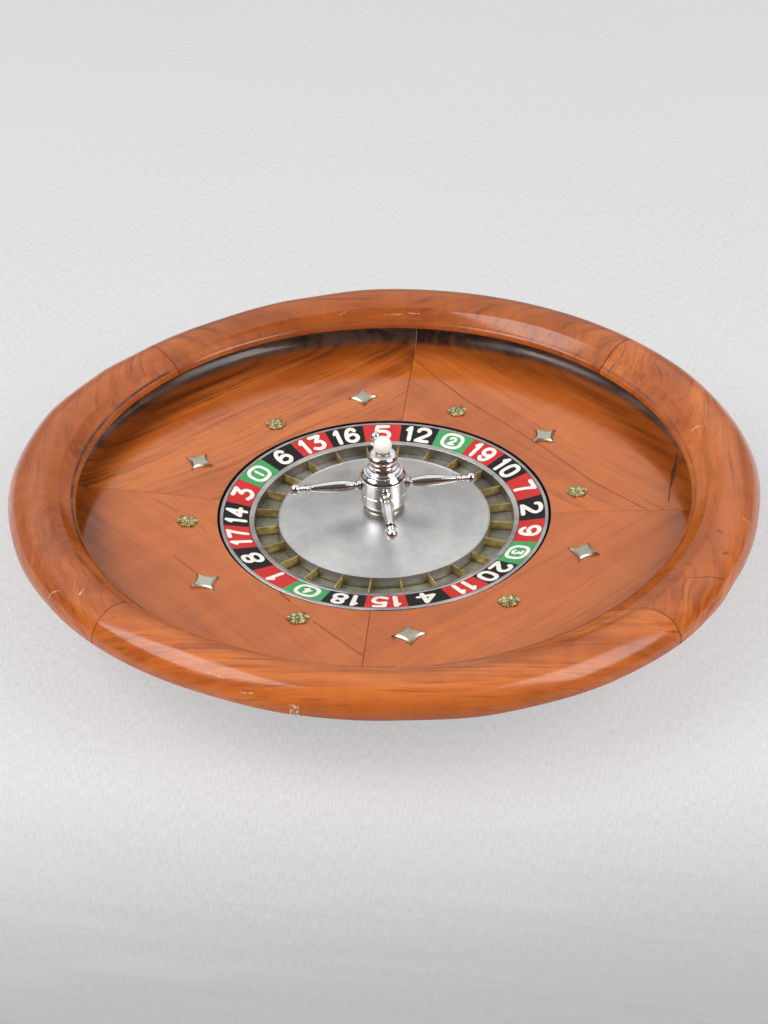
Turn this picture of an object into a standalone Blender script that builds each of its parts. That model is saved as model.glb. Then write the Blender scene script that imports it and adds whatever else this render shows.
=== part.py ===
"""Roulette wheel: a wooden bowl with a spinning rotor, a number ring, brass frets and a turret."""
import bpy
import bmesh
from math import atan2, cos, degrees, pi, radians, sin, sqrt
from mathutils import Matrix, Vector

# Clearances between pieces
SEAT_GAP = 0.0003
SEAM_GAP = 0.0003
RUN_GAP = 0.0016
CUT_OVERRUN = 0.002

# Facets of the turned pieces
RING_STEPS = 48
HUB_STEPS = 24
ARM_STEPS = 10
RIM_STEPS = 64
HIDDEN_STEPS = 32
SCREW_STEPS = 10
BALL_STEPS = 16

# Radii of the whole bowl and of the rotor
RIM_OUTER_RADIUS = 0.3925
ROTOR_RADIUS = 0.1770

# Levels: the number ring's edge stands on the base board and the rotor's stack of pieces
BASE_THICKNESS = 0.0200
DISC_CLEARANCE = 0.0040
DISC_THICKNESS = 0.0077
PAN_FLOOR = 0.0020
POCKET_OUTER_DROP = 0.0196
POCKET_INNER_DROP = 0.0200
ROTOR_BED_DROP = POCKET_INNER_DROP + PAN_FLOOR
RING_LEVEL = BASE_THICKNESS + DISC_CLEARANCE + DISC_THICKNESS + SEAT_GAP + ROTOR_BED_DROP
PANEL_THICKNESS = 0.0177

# Bowl: the underside cone
UNDERSIDE_INSET = 0.0080
UNDERSIDE_TOP_RADIUS = RIM_OUTER_RADIUS - UNDERSIDE_INSET
UNDERSIDE_FOOT_SHARE = 0.7184
BASE_CHAMFER = 0.0025
BEARER_WIDTH = 0.0600

# Bowl: the four apron panels and the ball track
TRACK_WALL = 0.0395
TRACK_COVE_WIDTH = 0.0280
TRACK_RADIUS = RIM_OUTER_RADIUS - TRACK_WALL
TRACK_START_RADIUS = TRACK_RADIUS - TRACK_COVE_WIDTH
TRACK_START_RISE = 0.0085
APRON_INNER_RADIUS = ROTOR_RADIUS + RUN_GAP
APRON_WIDTH = TRACK_START_RADIUS - APRON_INNER_RADIUS
APRON_BREAK_SHARE = 0.4877
APRON_BREAK_RADIUS = APRON_INNER_RADIUS + APRON_BREAK_SHARE * APRON_WIDTH
APRON_BREAK_RISE = 0.0052
TRACK_COVE_SHARES = ((0.50, 0.08), (0.75, 0.22), (0.90, 0.43), (0.98, 0.70))
PANEL_STEPS = 64
PANEL_SEAM_TURNS = (radians(-4.7), radians(82.7), radians(172.5), radians(265.0))

# Bowl: the four rim segments
RIM_UNDER_RISE = 0.0410
RIM_WIDTH = 0.0678
RIM_LIP_RADIUS = RIM_OUTER_RADIUS - RIM_WIDTH
RIM_ARC_RADIUS = 0.0300
RIM_ARC_INSET = 0.0290
RIM_ARC_CENTRE_RADIUS = RIM_OUTER_RADIUS - RIM_ARC_INSET
RIM_ARC_LIFT = 0.0008
RIM_ARC_CENTRE_RISE = RIM_UNDER_RISE + RIM_ARC_LIFT
RIM_ARC_START = radians(135)
RIM_ARC_END = radians(22)
RIM_ARC_POINTS = 8
RIM_LIP_HEIGHT = 0.0065
RIM_LIP_STEP = 0.0018
RIM_EDGE_ROUND = 0.0012
RIM_FOOT_ROUND = 0.0024
RIM_BAND_HEIGHT = 0.0090
RIM_BAND_RISE = RIM_UNDER_RISE + RIM_BAND_HEIGHT
RIM_SEAM_TURNS = (radians(39), radians(138), radians(225), radians(310))

# Ornaments on the apron
ORNAMENT_COUNT = 6
ORNAMENT_TURN = radians(5.5)
DIAMOND_PLACE_SHARE = 0.3217
DIAMOND_RADIUS = APRON_INNER_RADIUS + DIAMOND_PLACE_SHARE * APRON_WIDTH
DIAMOND_REACH = 0.0172
DIAMOND_ACROSS_REACH = 0.0172
DIAMOND_HEIGHT = 0.0038
DIAMOND_EDGE_HEIGHT = 0.0020
DIAMOND_TOP_SHARE = 0.82
DIAMOND_HOLLOW_SHARES = ((1.0, 0.0), (0.62, 0.16), (0.38, 0.38), (0.16, 0.62))
ROSETTE_PLACE_SHARE = 0.2213
ROSETTE_RADIUS = APRON_INNER_RADIUS + ROSETTE_PLACE_SHARE * APRON_WIDTH
ROSETTE_REACH = 0.0118
ROSETTE_PETALS = 6
ROSETTE_POINTS = 24
ROSETTE_NOTCH_SHARE = 0.20
ROSETTE_HEIGHT = 0.0034
ROSETTE_LAYER_SHARES = ((0.96, 0.50), (0.46, 0.42), (0.30, 1.0))

# Spindle and its flange
SPINDLE_RADIUS = 0.0060
SPINDLE_TOP_RISE = 0.0220
SPINDLE_TIP_RADIUS = 0.0030
SPINDLE_TIP_HEIGHT = 0.0030
FLANGE_RADIUS = 0.0320
FLANGE_THICKNESS = 0.0040
FLANGE_BOSS_RADIUS = 0.0110
FLANGE_BOSS_HEIGHT = 0.0030
FLANGE_SCREW_COUNT = 4
FLANGE_SCREW_SHARE = 0.6875
FLANGE_SCREW_CIRCLE = FLANGE_SCREW_SHARE * FLANGE_RADIUS
SCREW_RADIUS = 0.0022
SCREW_HEAD_RADIUS = 0.0042
SCREW_HEAD_HEIGHT = 0.0022
SCREW_LENGTH = 0.0160
WASHER_RADIUS = 0.0105
WASHER_THICKNESS = 0.0015

# Rotor: the wooden disc and the hub
DISC_EDGE_INSET = 0.0020
FLANGE_CLEARANCE = 0.0040
DISC_BORE_RADIUS = FLANGE_RADIUS + FLANGE_CLEARANCE
HUB_SLEEVE_RADIUS = 0.0100
SPINDLE_COVER = 0.0040
HUB_SLEEVE_RISE = SPINDLE_TOP_RISE + SPINDLE_COVER
HUB_PLATE_LAP = 0.0140
HUB_PLATE_RADIUS = DISC_BORE_RADIUS + HUB_PLATE_LAP
HUB_PLATE_THICKNESS = 0.0032

# Rotor: the rings, from outside to inside, their widths and the cone's radius in shares of the rotor's radius
TRIM_SHARE = 0.0226
BAND_SHARE = 0.15254
LIP_SHARE = 0.0339
CONE_SHARE = 0.64576
TRIM_WIDTH = TRIM_SHARE * ROTOR_RADIUS
TRIM_TOP_DROP = 0.0008
TRIM_ROUND = 0.0007
BAND_WIDTH = BAND_SHARE * ROTOR_RADIUS
BAND_TOP_DROP = 0.0012
BAND_SLOPE_DROP = 0.0056
BAND_THICKNESS = 0.0030
LIP_WIDTH = LIP_SHARE * ROTOR_RADIUS
LIP_STEP = 0.0006
LIP_SLOPE_DROP = 0.0010
POCKET_COUNT = 24
POCKET_TURN_SHARE = 0.5
FRET_TOP_DROP = 0.0090
FRET_THICKNESS = 0.0015
FRET_TOP_THICKNESS = 0.0009
FRET_HOOP_THICKNESS = 0.0013
FRET_HOOP_HEIGHT = 0.0032
FRET_SEGMENT_COUNT = 4

# Rotor: the cone over the middle
CONE_RADIUS = CONE_SHARE * ROTOR_RADIUS
CONE_EDGE_DROP = 0.0083
CONE_TOP_RADIUS = 0.0240
CONE_TOP_RISE = 0.0030
CONE_SHEET = 0.0022
CONE_BEAD_WIDTH = 0.0016
CONE_BEAD_HEIGHT = 0.0007

# Turret
TURRET_BASE_RADIUS = 0.0205
TURRET_BASE_TOP_RISE = 0.0188
TURRET_BASE_FLANGE = 0.0012
TURRET_BASE_FLANGE_HEIGHT = 0.0016
TURRET_BASE_WAIST_SHARES = ((1.0, 0.08), (0.955, 0.30), (0.94, 0.62), (0.985, 1.0))
TURRET_HUB_RADIUS = 0.0253
TURRET_HUB_HEIGHT = 0.0245
TURRET_HUB_SHARES = (
    (0.930, 1.000), (1.000, 0.972), (1.000, 0.915), (0.968, 0.885),
    (0.968, 0.190), (0.925, 0.060), (0.820, 0.000),
)
TURRET_CAP_RADIUS = 0.0243
TURRET_CAP_HEIGHT = 0.0276
TURRET_CAP_SHARES = (
    (0.519, 1.000), (0.584, 0.960), (0.642, 0.888), (0.663, 0.800), (0.634, 0.714), (0.551, 0.634),
    (0.486, 0.576), (0.477, 0.525), (0.519, 0.467), (0.601, 0.431), (0.625, 0.395), (0.642, 0.366),
    (0.708, 0.337), (0.745, 0.270), (0.831, 0.236), (0.831, 0.199), (0.856, 0.178),
    (0.930, 0.127), (0.988, 0.047), (1.000, 0.000),
)
BALL_RADIUS = 0.0099
SEAT_OUTER_RADIUS = 0.0076
SEAT_INNER_RADIUS = 0.0052
SEAT_HEIGHT = 0.0022
SEAT_PROUD = 0.0009

# Turret arms
ARM_COUNT = 4
ARM_TURN = radians(4.6)
ARM_LEVEL_SHARE = 0.5388
ARM_RISE = TURRET_BASE_TOP_RISE + SEAT_GAP + ARM_LEVEL_SHARE * TURRET_HUB_HEIGHT
ARM_LENGTH_SHARE = 0.42486
ARM_LENGTH = ARM_LENGTH_SHARE * ROTOR_RADIUS
ARM_RADIUS = 0.0068
ARM_SPIGOT_RADIUS = 0.0030
ARM_SPIGOT_LENGTH = 0.0080
ARM_SHARES = (
    (0.000, 0.90), (0.022, 0.93), (0.034, 0.76), (0.048, 0.95), (0.066, 0.72), (0.085, 0.66),
    (0.160, 0.82), (0.270, 1.00), (0.380, 0.97), (0.520, 0.80), (0.660, 0.58), (0.705, 0.50),
    (0.722, 0.68), (0.740, 0.52), (0.758, 0.60), (0.768, 0.90), (0.782, 0.60), (0.800, 0.48),
    (0.822, 0.62), (0.842, 0.46), (0.858, 0.46),
)
ARM_BALL_RADIUS = 0.0060
ARM_BALL_POINTS = 5

# Colours, roughness and metal of the materials
RIM_WOOD = ("rim_wood", (0.46, 0.17, 0.055), 0.30, 0.0)
APRON_WOOD = ("apron_wood", (0.50, 0.21, 0.085), 0.38, 0.0)
BASE_WOOD = ("base_wood", (0.22, 0.10, 0.045), 0.55, 0.0)
GREY_METAL = ("grey_metal", (0.33, 0.33, 0.34), 0.42, 1.0)
WORN_METAL = ("worn_metal", (0.16, 0.16, 0.155), 0.55, 1.0)
CONE_METAL = ("cone_metal", (0.42, 0.42, 0.41), 0.40, 1.0)
STEEL = ("steel", (0.50, 0.50, 0.50), 0.30, 1.0)
BRASS = ("brass", (0.42, 0.30, 0.11), 0.35, 1.0)
PALE_BRASS = ("pale_brass", (0.62, 0.56, 0.40), 0.32, 1.0)
CHROME = ("chrome", (0.75, 0.75, 0.76), 0.08, 1.0)
IVORY = ("ivory", (0.88, 0.86, 0.78), 0.25, 0.0)
ENAMEL_RED = ("enamel_red", (0.60, 0.07, 0.045), 0.38, 0.0)
ENAMEL_BLACK = ("enamel_black", (0.045, 0.045, 0.045), 0.38, 0.0)
ENAMEL_GREEN = ("enamel_green", (0.10, 0.45, 0.19), 0.38, 0.0)
POCKET_COLOURS = "rbgrbrbrgbrbrbgrbrbrgbrb"


def level(rise):
    """Height above the table of a place named by its rise over the number ring's edge."""
    return RING_LEVEL + rise


def underside_radius(rise):
    """Radius of the bowl's conical underside at a given rise."""
    foot = UNDERSIDE_FOOT_SHARE * UNDERSIDE_TOP_RADIUS
    return foot + (UNDERSIDE_TOP_RADIUS - foot) * level(rise) / level(RIM_UNDER_RISE)


def apron_rise(radius):
    """Rise of the apron's top at a radius on its inner, straight run."""
    return APRON_BREAK_RISE * (radius - APRON_INNER_RADIUS) / (APRON_BREAK_RADIUS - APRON_INNER_RADIUS)


def make_material(look):
    name, colour, roughness, metallic = look
    found = bpy.data.materials.get(name)
    if found:
        return found
    material = bpy.data.materials.new(name)
    material.use_nodes = True
    shader = material.node_tree.nodes["Principled BSDF"]
    shader.inputs["Base Color"].default_value = (*colour, 1.0)
    shader.inputs["Roughness"].default_value = roughness
    shader.inputs["Metallic"].default_value = metallic
    material.diffuse_color = (*colour, 1.0)
    return material


def add_object(name, mesh, look, collection, parent=None):
    piece = bpy.data.objects.new(name, mesh)
    mesh.materials.append(make_material(look))
    collection.objects.link(piece)
    if parent:
        piece.parent = parent
        piece.matrix_parent_inverse = parent.matrix_world.inverted()
    return piece


def shade_round(mesh, sharp=radians(32)):
    mesh.shade_smooth()
    mesh.set_sharp_from_angle(angle=sharp)


def running_down(points):
    """Closed outline in radius and height, turned so that its outer side runs down."""
    area = 0.0
    for index, (r0, z0) in enumerate(points):
        r1, z1 = points[(index + 1) % len(points)]
        area += r0 * z1 - r1 * z0
    return points if area < 0 else list(reversed(points))


def turned(name, points, look, collection, parent=None, steps=RING_STEPS, open_ends=False):
    """Turned piece: a profile screwed once round Z. A profile with open_ends starts and ends on Z."""
    mesh = bpy.data.meshes.new(name)
    model = bmesh.new()
    outline = points if open_ends else running_down(points)
    corners = [model.verts.new((radius, 0, height)) for radius, height in outline]
    for first, second in zip(corners, corners[1:]):
        model.edges.new((first, second))
    if not open_ends:
        model.edges.new((corners[-1], corners[0]))
    model.to_mesh(mesh)
    model.free()
    piece = add_object(name, mesh, look, collection, parent)
    screw = piece.modifiers.new("turn", "SCREW")
    screw.axis = "Z"
    screw.angle = 2 * pi
    screw.steps = steps
    screw.render_steps = steps
    screw.use_merge_vertices = True
    screw.merge_threshold = 0.00001
    screw.use_smooth_shade = True
    return piece


def turned_segment(name, points, start, sweep, steps, look, collection):
    """Segment of a turned ring: the outline's face spun through part of a turn, with flat ends."""
    model = bmesh.new()
    turn = Matrix.Rotation(start, 4, "Z")
    outline = running_down(points)
    corners = [model.verts.new(turn @ Vector((radius, 0, height))) for radius, height in outline]
    face = model.faces.new(corners)
    bmesh.ops.spin(
        model, geom=[face] + list(face.edges) + corners, cent=(0, 0, 0), axis=(0, 0, 1),
        angle=sweep, steps=steps, use_duplicate=False)
    bmesh.ops.recalc_face_normals(model, faces=list(model.faces))
    mesh = bpy.data.meshes.new(name)
    model.to_mesh(mesh)
    model.free()
    shade_round(mesh)
    return add_object(name, mesh, look, collection)


def build_segments(name, profile, seams, ring_steps, seam_angle, look, collection):
    """Ring of segments of uneven length, each running from its seam to a seam's gap before the next."""
    for index, start in enumerate(seams):
        following = seams[(index + 1) % len(seams)]
        span = (following - start) % (2 * pi)
        steps = round(ring_steps * span / (2 * pi))
        turned_segment(f"{name}_{index + 1}", profile, start, span - seam_angle, steps, look, collection)


def add_cylinder(name, radius, depth, matrix, steps, collection):
    model = bmesh.new()
    bmesh.ops.create_cone(
        model, cap_ends=True, segments=steps, radius1=radius, radius2=radius, depth=depth, matrix=matrix)
    mesh = bpy.data.meshes.new(name)
    model.to_mesh(mesh)
    model.free()
    piece = bpy.data.objects.new(name, mesh)
    collection.objects.link(piece)
    return piece


def cut(piece, cutter):
    cutter.hide_render = True
    cutter.display_type = "WIRE"
    knife = piece.modifiers.new("cut", "BOOLEAN")
    knife.operation = "DIFFERENCE"
    knife.solver = "EXACT"
    knife.object = cutter


def raised_plate(name, outline, layers, look, collection, matrix):
    """Plate raised in layers: each layer draws the outline in by a share and lifts it to a height."""
    model = bmesh.new()
    corners = [model.verts.new((across, along, 0)) for across, along in outline]
    face = model.faces.new(corners)
    if face.normal.z < 0:
        face.normal_flip()
    size = 1.0
    height = 0.0
    for share, top in layers:
        grown = bmesh.ops.extrude_face_region(model, geom=[face])
        lifted = [item for item in grown["geom"] if isinstance(item, bmesh.types.BMVert)]
        upper = [item for item in grown["geom"] if isinstance(item, bmesh.types.BMFace)][0]
        if height > 0:
            model.faces.remove(face)
        for corner in lifted:
            corner.co.x *= share / size
            corner.co.y *= share / size
            corner.co.z = top
        face = upper
        size = share
        height = top
    bmesh.ops.recalc_face_normals(model, faces=list(model.faces))
    mesh = bpy.data.meshes.new(name)
    model.to_mesh(mesh)
    model.free()
    mesh.transform(matrix)
    return add_object(name, mesh, look, collection)


def build_base(collection, cutters):
    """The base board, the bearer ring on it, and the screw holes for the spindle's flange."""
    foot = underside_radius(-RING_LEVEL)
    shoulder = underside_radius(BASE_THICKNESS - RING_LEVEL)
    board = turned("base_board", [
        (0, BASE_THICKNESS), (shoulder, BASE_THICKNESS), (foot, BASE_CHAMFER),
        (foot - BASE_CHAMFER, 0), (0, 0),
    ], BASE_WOOD, collection, open_ends=True)
    for index in range(FLANGE_SCREW_COUNT):
        turn = 2 * pi * index / FLANGE_SCREW_COUNT
        place = Matrix.Translation((FLANGE_SCREW_CIRCLE * cos(turn), FLANGE_SCREW_CIRCLE * sin(turn),
                                    BASE_THICKNESS))
        depth = 2 * (SCREW_LENGTH - FLANGE_THICKNESS)
        hole = add_cylinder(f"board_hole_cutter_{index + 1}", SCREW_RADIUS + SEAT_GAP, depth, place,
                            SCREW_STEPS, cutters)
        cut(board, hole)
    bottom = BASE_THICKNESS + SEAT_GAP
    top = level(-PANEL_THICKNESS) - SEAT_GAP
    foot = underside_radius(bottom - RING_LEVEL)
    turned("bearer_ring", [
        (foot - BEARER_WIDTH, top), (underside_radius(top - RING_LEVEL), top), (foot, bottom),
        (foot - BEARER_WIDTH, bottom),
    ], BASE_WOOD, collection)


def build_panels(collection):
    """The apron and the ball track in four panels, with the seams a few degrees off square."""
    inner = APRON_INNER_RADIUS
    bottom = -PANEL_THICKNESS
    top = RIM_UNDER_RISE - SEAT_GAP
    climb = top - TRACK_START_RISE
    cove = [(TRACK_START_RADIUS + across * TRACK_COVE_WIDTH, TRACK_START_RISE + up * climb)
            for across, up in TRACK_COVE_SHARES]
    outline = [(inner, bottom), (inner, 0), (APRON_BREAK_RADIUS, APRON_BREAK_RISE),
               (TRACK_START_RADIUS, TRACK_START_RISE)]
    outline += cove
    outline += [(TRACK_RADIUS, top), (underside_radius(top), top), (underside_radius(bottom), bottom)]
    profile = [(radius, level(rise)) for radius, rise in outline]
    build_segments("bowl_panel", profile, PANEL_SEAM_TURNS, PANEL_STEPS, SEAM_GAP / inner, APRON_WOOD, collection)


def rim_profile():
    """Rounded rim: a thin lip over the ball track, a sloping inner side, a half-round crown, a foot band."""
    points = [
        (RIM_LIP_RADIUS + RIM_EDGE_ROUND, RIM_UNDER_RISE),
        (RIM_LIP_RADIUS, RIM_UNDER_RISE + RIM_EDGE_ROUND),
        (RIM_LIP_RADIUS, RIM_UNDER_RISE + RIM_LIP_HEIGHT),
        (RIM_LIP_RADIUS + RIM_LIP_STEP, RIM_UNDER_RISE + RIM_LIP_HEIGHT + RIM_EDGE_ROUND),
    ]
    for index in range(RIM_ARC_POINTS):
        share = index / (RIM_ARC_POINTS - 1)
        turn = RIM_ARC_START + (RIM_ARC_END - RIM_ARC_START) * share
        points.append((RIM_ARC_CENTRE_RADIUS + RIM_ARC_RADIUS * cos(turn),
                       RIM_ARC_CENTRE_RISE + RIM_ARC_RADIUS * sin(turn)))
    points += [
        (RIM_OUTER_RADIUS, RIM_BAND_RISE),
        (RIM_OUTER_RADIUS, RIM_UNDER_RISE + RIM_FOOT_ROUND),
        (RIM_OUTER_RADIUS - RIM_FOOT_ROUND, RIM_UNDER_RISE),
    ]
    return [(radius, level(rise)) for radius, rise in points]


def build_rim(collection):
    build_segments("rim_segment", rim_profile(), RIM_SEAM_TURNS, RIM_STEPS, SEAM_GAP / RIM_LIP_RADIUS, RIM_WOOD,
                   collection)


def apron_seat(radius, turn):
    """Frame of a flat-backed ornament lying on the sloping apron, its Y pointing outward."""
    tilt = atan2(APRON_BREAK_RISE, APRON_BREAK_RADIUS - APRON_INNER_RADIUS)
    place = Matrix.Rotation(turn - pi / 2, 4, "Z")
    place = place @ Matrix.Translation((0, radius, level(apron_rise(radius)) + SEAT_GAP))
    return place @ Matrix.Rotation(tilt, 4, "X")


def diamond_outline():
    """Four-pointed diamond with hollow sides, drawn quarter by quarter."""
    points = []
    for quarter in range(4):
        turn = quarter * pi / 2
        for along, across in DIAMOND_HOLLOW_SHARES:
            x = along * cos(turn) - across * sin(turn)
            y = along * sin(turn) + across * cos(turn)
            points.append((x * DIAMOND_ACROSS_REACH, y * DIAMOND_REACH))
    return points


def rosette_outline():
    """Six-petalled flower: the radius falls to a notch between the petals."""
    points = []
    for index in range(ROSETTE_POINTS):
        turn = 2 * pi * index / ROSETTE_POINTS
        notch = ROSETTE_NOTCH_SHARE * (1 - abs(cos(ROSETTE_PETALS * turn / 2)))
        reach = ROSETTE_REACH * (1 - notch)
        points.append((reach * cos(turn), reach * sin(turn)))
    return points


def build_ornaments(collection):
    for index in range(ORNAMENT_COUNT):
        turn = ORNAMENT_TURN + 2 * pi * index / ORNAMENT_COUNT
        half_step = pi / ORNAMENT_COUNT
        layers = [(share, ROSETTE_HEIGHT * height) for share, height in ROSETTE_LAYER_SHARES]
        raised_plate(f"rosette_{index + 1}", rosette_outline(), layers, BRASS, collection,
                     apron_seat(ROSETTE_RADIUS, turn))
        layers = [(1.0, DIAMOND_EDGE_HEIGHT), (DIAMOND_TOP_SHARE, DIAMOND_HEIGHT)]
        raised_plate(f"diamond_{index + 1}", diamond_outline(), layers, PALE_BRASS, collection,
                     apron_seat(DIAMOND_RADIUS, turn + half_step))


def build_spindle(collection, cutters):
    """Fixed spindle with its screwed flange and the washer that the rotor turns on."""
    bottom = BASE_THICKNESS + SEAT_GAP
    plate_top = bottom + FLANGE_THICKNESS
    boss_top = plate_top + FLANGE_BOSS_HEIGHT
    bore = SPINDLE_RADIUS + SEAT_GAP
    flange = turned("spindle_flange", [
        (bore, boss_top), (FLANGE_BOSS_RADIUS, boss_top), (FLANGE_BOSS_RADIUS, plate_top),
        (FLANGE_RADIUS, plate_top), (FLANGE_RADIUS, bottom), (bore, bottom),
    ], STEEL, collection, steps=HUB_STEPS)
    for index in range(FLANGE_SCREW_COUNT):
        turn = 2 * pi * index / FLANGE_SCREW_COUNT
        x = FLANGE_SCREW_CIRCLE * cos(turn)
        y = FLANGE_SCREW_CIRCLE * sin(turn)
        hole = add_cylinder(f"flange_hole_cutter_{index + 1}", SCREW_RADIUS + SEAT_GAP,
                            FLANGE_THICKNESS + 2 * CUT_OVERRUN,
                            Matrix.Translation((x, y, bottom + FLANGE_THICKNESS / 2)), SCREW_STEPS, cutters)
        cut(flange, hole)
        add_screw(f"flange_screw_{index + 1}", x, y, plate_top + SEAT_GAP, collection)
    tip = level(SPINDLE_TOP_RISE)
    turned("spindle", [
        (0, tip), (SPINDLE_TIP_RADIUS, tip), (SPINDLE_RADIUS, tip - SPINDLE_TIP_HEIGHT),
        (SPINDLE_RADIUS, bottom), (0, bottom),
    ], STEEL, collection, steps=HUB_STEPS, open_ends=True)
    washer_bottom = boss_top + SEAT_GAP
    washer_top = washer_bottom + WASHER_THICKNESS
    turned("thrust_washer", [
        (bore, washer_top), (WASHER_RADIUS, washer_top), (WASHER_RADIUS, washer_bottom), (bore, washer_bottom),
    ], BRASS, collection, steps=SCREW_STEPS * 2)
    return washer_top + SEAT_GAP


def add_screw(name, x, y, seat, collection):
    """Pan-head screw with its shank in the drilled hole."""
    shank = SCREW_LENGTH - FLANGE_THICKNESS
    screw = turned(name, [
        (0, SCREW_HEAD_HEIGHT), (SCREW_HEAD_RADIUS / 2, SCREW_HEAD_HEIGHT),
        (SCREW_HEAD_RADIUS, SCREW_HEAD_HEIGHT / 2), (SCREW_HEAD_RADIUS, 0), (SCREW_RADIUS, 0),
        (SCREW_RADIUS, -shank), (0, -shank - SCREW_RADIUS / 2),
    ], STEEL, collection, steps=SCREW_STEPS, open_ends=True)
    screw.location = (x, y, seat)


def build_rotor_body(collection, rotor, sleeve_bottom):
    """The wooden disc, the steel hub that rides the spindle, and the bed under the number ring."""
    disc_top = level(-ROTOR_BED_DROP) - SEAT_GAP
    disc_bottom = disc_top - DISC_THICKNESS
    edge = ROTOR_RADIUS - DISC_EDGE_INSET
    turned("rotor_disc", [
        (DISC_BORE_RADIUS, disc_top), (edge, disc_top), (edge, disc_bottom), (DISC_BORE_RADIUS, disc_bottom),
    ], BASE_WOOD, collection, rotor, steps=HIDDEN_STEPS)
    plate_bottom = level(-ROTOR_BED_DROP)
    plate_top = plate_bottom + HUB_PLATE_THICKNESS
    sleeve_top = level(HUB_SLEEVE_RISE)
    bore = SPINDLE_RADIUS + SEAT_GAP
    bore_top = level(SPINDLE_TOP_RISE) + SEAT_GAP
    turned("rotor_hub", [
        (0, sleeve_top), (HUB_SLEEVE_RADIUS, sleeve_top), (HUB_SLEEVE_RADIUS, plate_top),
        (HUB_PLATE_RADIUS, plate_top), (HUB_PLATE_RADIUS, plate_bottom), (HUB_SLEEVE_RADIUS, plate_bottom),
        (HUB_SLEEVE_RADIUS, sleeve_bottom), (bore, sleeve_bottom), (bore, bore_top), (0, bore_top),
    ], STEEL, collection, rotor, steps=HUB_STEPS, open_ends=True)


def band_radii():
    outer = ROTOR_RADIUS - TRIM_WIDTH - SEAT_GAP
    inner = ROTOR_RADIUS - TRIM_WIDTH - BAND_WIDTH
    return outer, inner


def band_top(radius):
    """Rise of the number ring's sloping top at a radius."""
    outer, inner = band_radii()
    return -BAND_TOP_DROP - BAND_SLOPE_DROP * (outer - radius) / (outer - inner)


def build_rings(collection, rotor):
    """Trim ring, number ring on its bed, and the lip ring over the pockets."""
    bed = level(-ROTOR_BED_DROP)
    trim_inner = ROTOR_RADIUS - TRIM_WIDTH
    trim_top = level(-TRIM_TOP_DROP)
    turned("trim_ring", [
        (trim_inner, trim_top), (ROTOR_RADIUS - TRIM_ROUND, trim_top), (ROTOR_RADIUS, trim_top - TRIM_ROUND),
        (ROTOR_RADIUS, bed), (trim_inner, bed),
    ], GREY_METAL, collection, rotor)
    outer, inner = band_radii()
    slope = BAND_SLOPE_DROP / (outer - inner)
    build_number_ring(collection, rotor, outer, inner)
    bed_top_outer = level(band_top(outer) - BAND_THICKNESS) - SEAT_GAP
    bed_top_inner = level(band_top(inner) - BAND_THICKNESS) - SEAT_GAP
    turned("ring_bed", [
        (outer, bed_top_outer), (outer, bed), (inner, bed), (inner, bed_top_inner),
    ], BASE_WOOD, collection, rotor)
    lip_outer = inner - SEAT_GAP
    lip_inner = lip_outer - LIP_WIDTH
    lip_top = level(band_top(inner) + LIP_STEP)
    lip_inner_top = lip_top - LIP_SLOPE_DROP
    lip_bottom = level(-ROTOR_BED_DROP)
    turned("lip_ring", [
        (lip_outer, lip_top - slope * SEAT_GAP), (lip_outer, lip_bottom), (lip_inner, lip_bottom),
        (lip_inner, lip_inner_top),
    ], GREY_METAL, collection, rotor)
    return lip_inner


def build_number_ring(collection, rotor, outer, inner):
    """Sloping plate of cells, two facets a cell, each cell in its own enamel."""
    profile = running_down([
        (outer, level(band_top(outer))), (outer, level(band_top(outer) - BAND_THICKNESS)),
        (inner, level(band_top(inner) - BAND_THICKNESS)), (inner, level(band_top(inner))),
    ])
    model = bmesh.new()
    corners = [model.verts.new((radius, 0, height)) for radius, height in profile]
    edges = [model.edges.new((corners[index], corners[(index + 1) % len(corners)]))
             for index in range(len(corners))]
    first_turn = POCKET_TURN_SHARE * 2 * pi / POCKET_COUNT
    bmesh.ops.spin(model, geom=corners + edges, cent=(0, 0, 0), axis=(0, 0, 1), angle=2 * pi,
                   steps=RING_STEPS, use_merge=True)
    bmesh.ops.remove_doubles(model, verts=list(model.verts), dist=0.00001)
    bmesh.ops.rotate(model, verts=list(model.verts), cent=(0, 0, 0),
                     matrix=Matrix.Rotation(first_turn, 3, "Z"))
    bmesh.ops.recalc_face_normals(model, faces=list(model.faces))
    order = {"r": 1, "b": 0, "g": 2}
    for face in model.faces:
        if face.normal.z > cos(radians(45)):
            middle = face.calc_center_median()
            place = (90 - degrees(atan2(middle.y, middle.x))) % 360
            cell = round(place / 360 * POCKET_COUNT) % POCKET_COUNT
            face.material_index = order[POCKET_COLOURS[cell]]
    mesh = bpy.data.meshes.new("number_ring")
    model.to_mesh(mesh)
    model.free()
    shade_round(mesh)
    ring = add_object("number_ring", mesh, ENAMEL_BLACK, collection, rotor)
    ring.data.materials.append(make_material(ENAMEL_RED))
    ring.data.materials.append(make_material(ENAMEL_GREEN))


def floor_rise(radius, outer, inner):
    share = (outer - radius) / (outer - inner)
    return -POCKET_OUTER_DROP - (POCKET_INNER_DROP - POCKET_OUTER_DROP) * share


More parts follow.
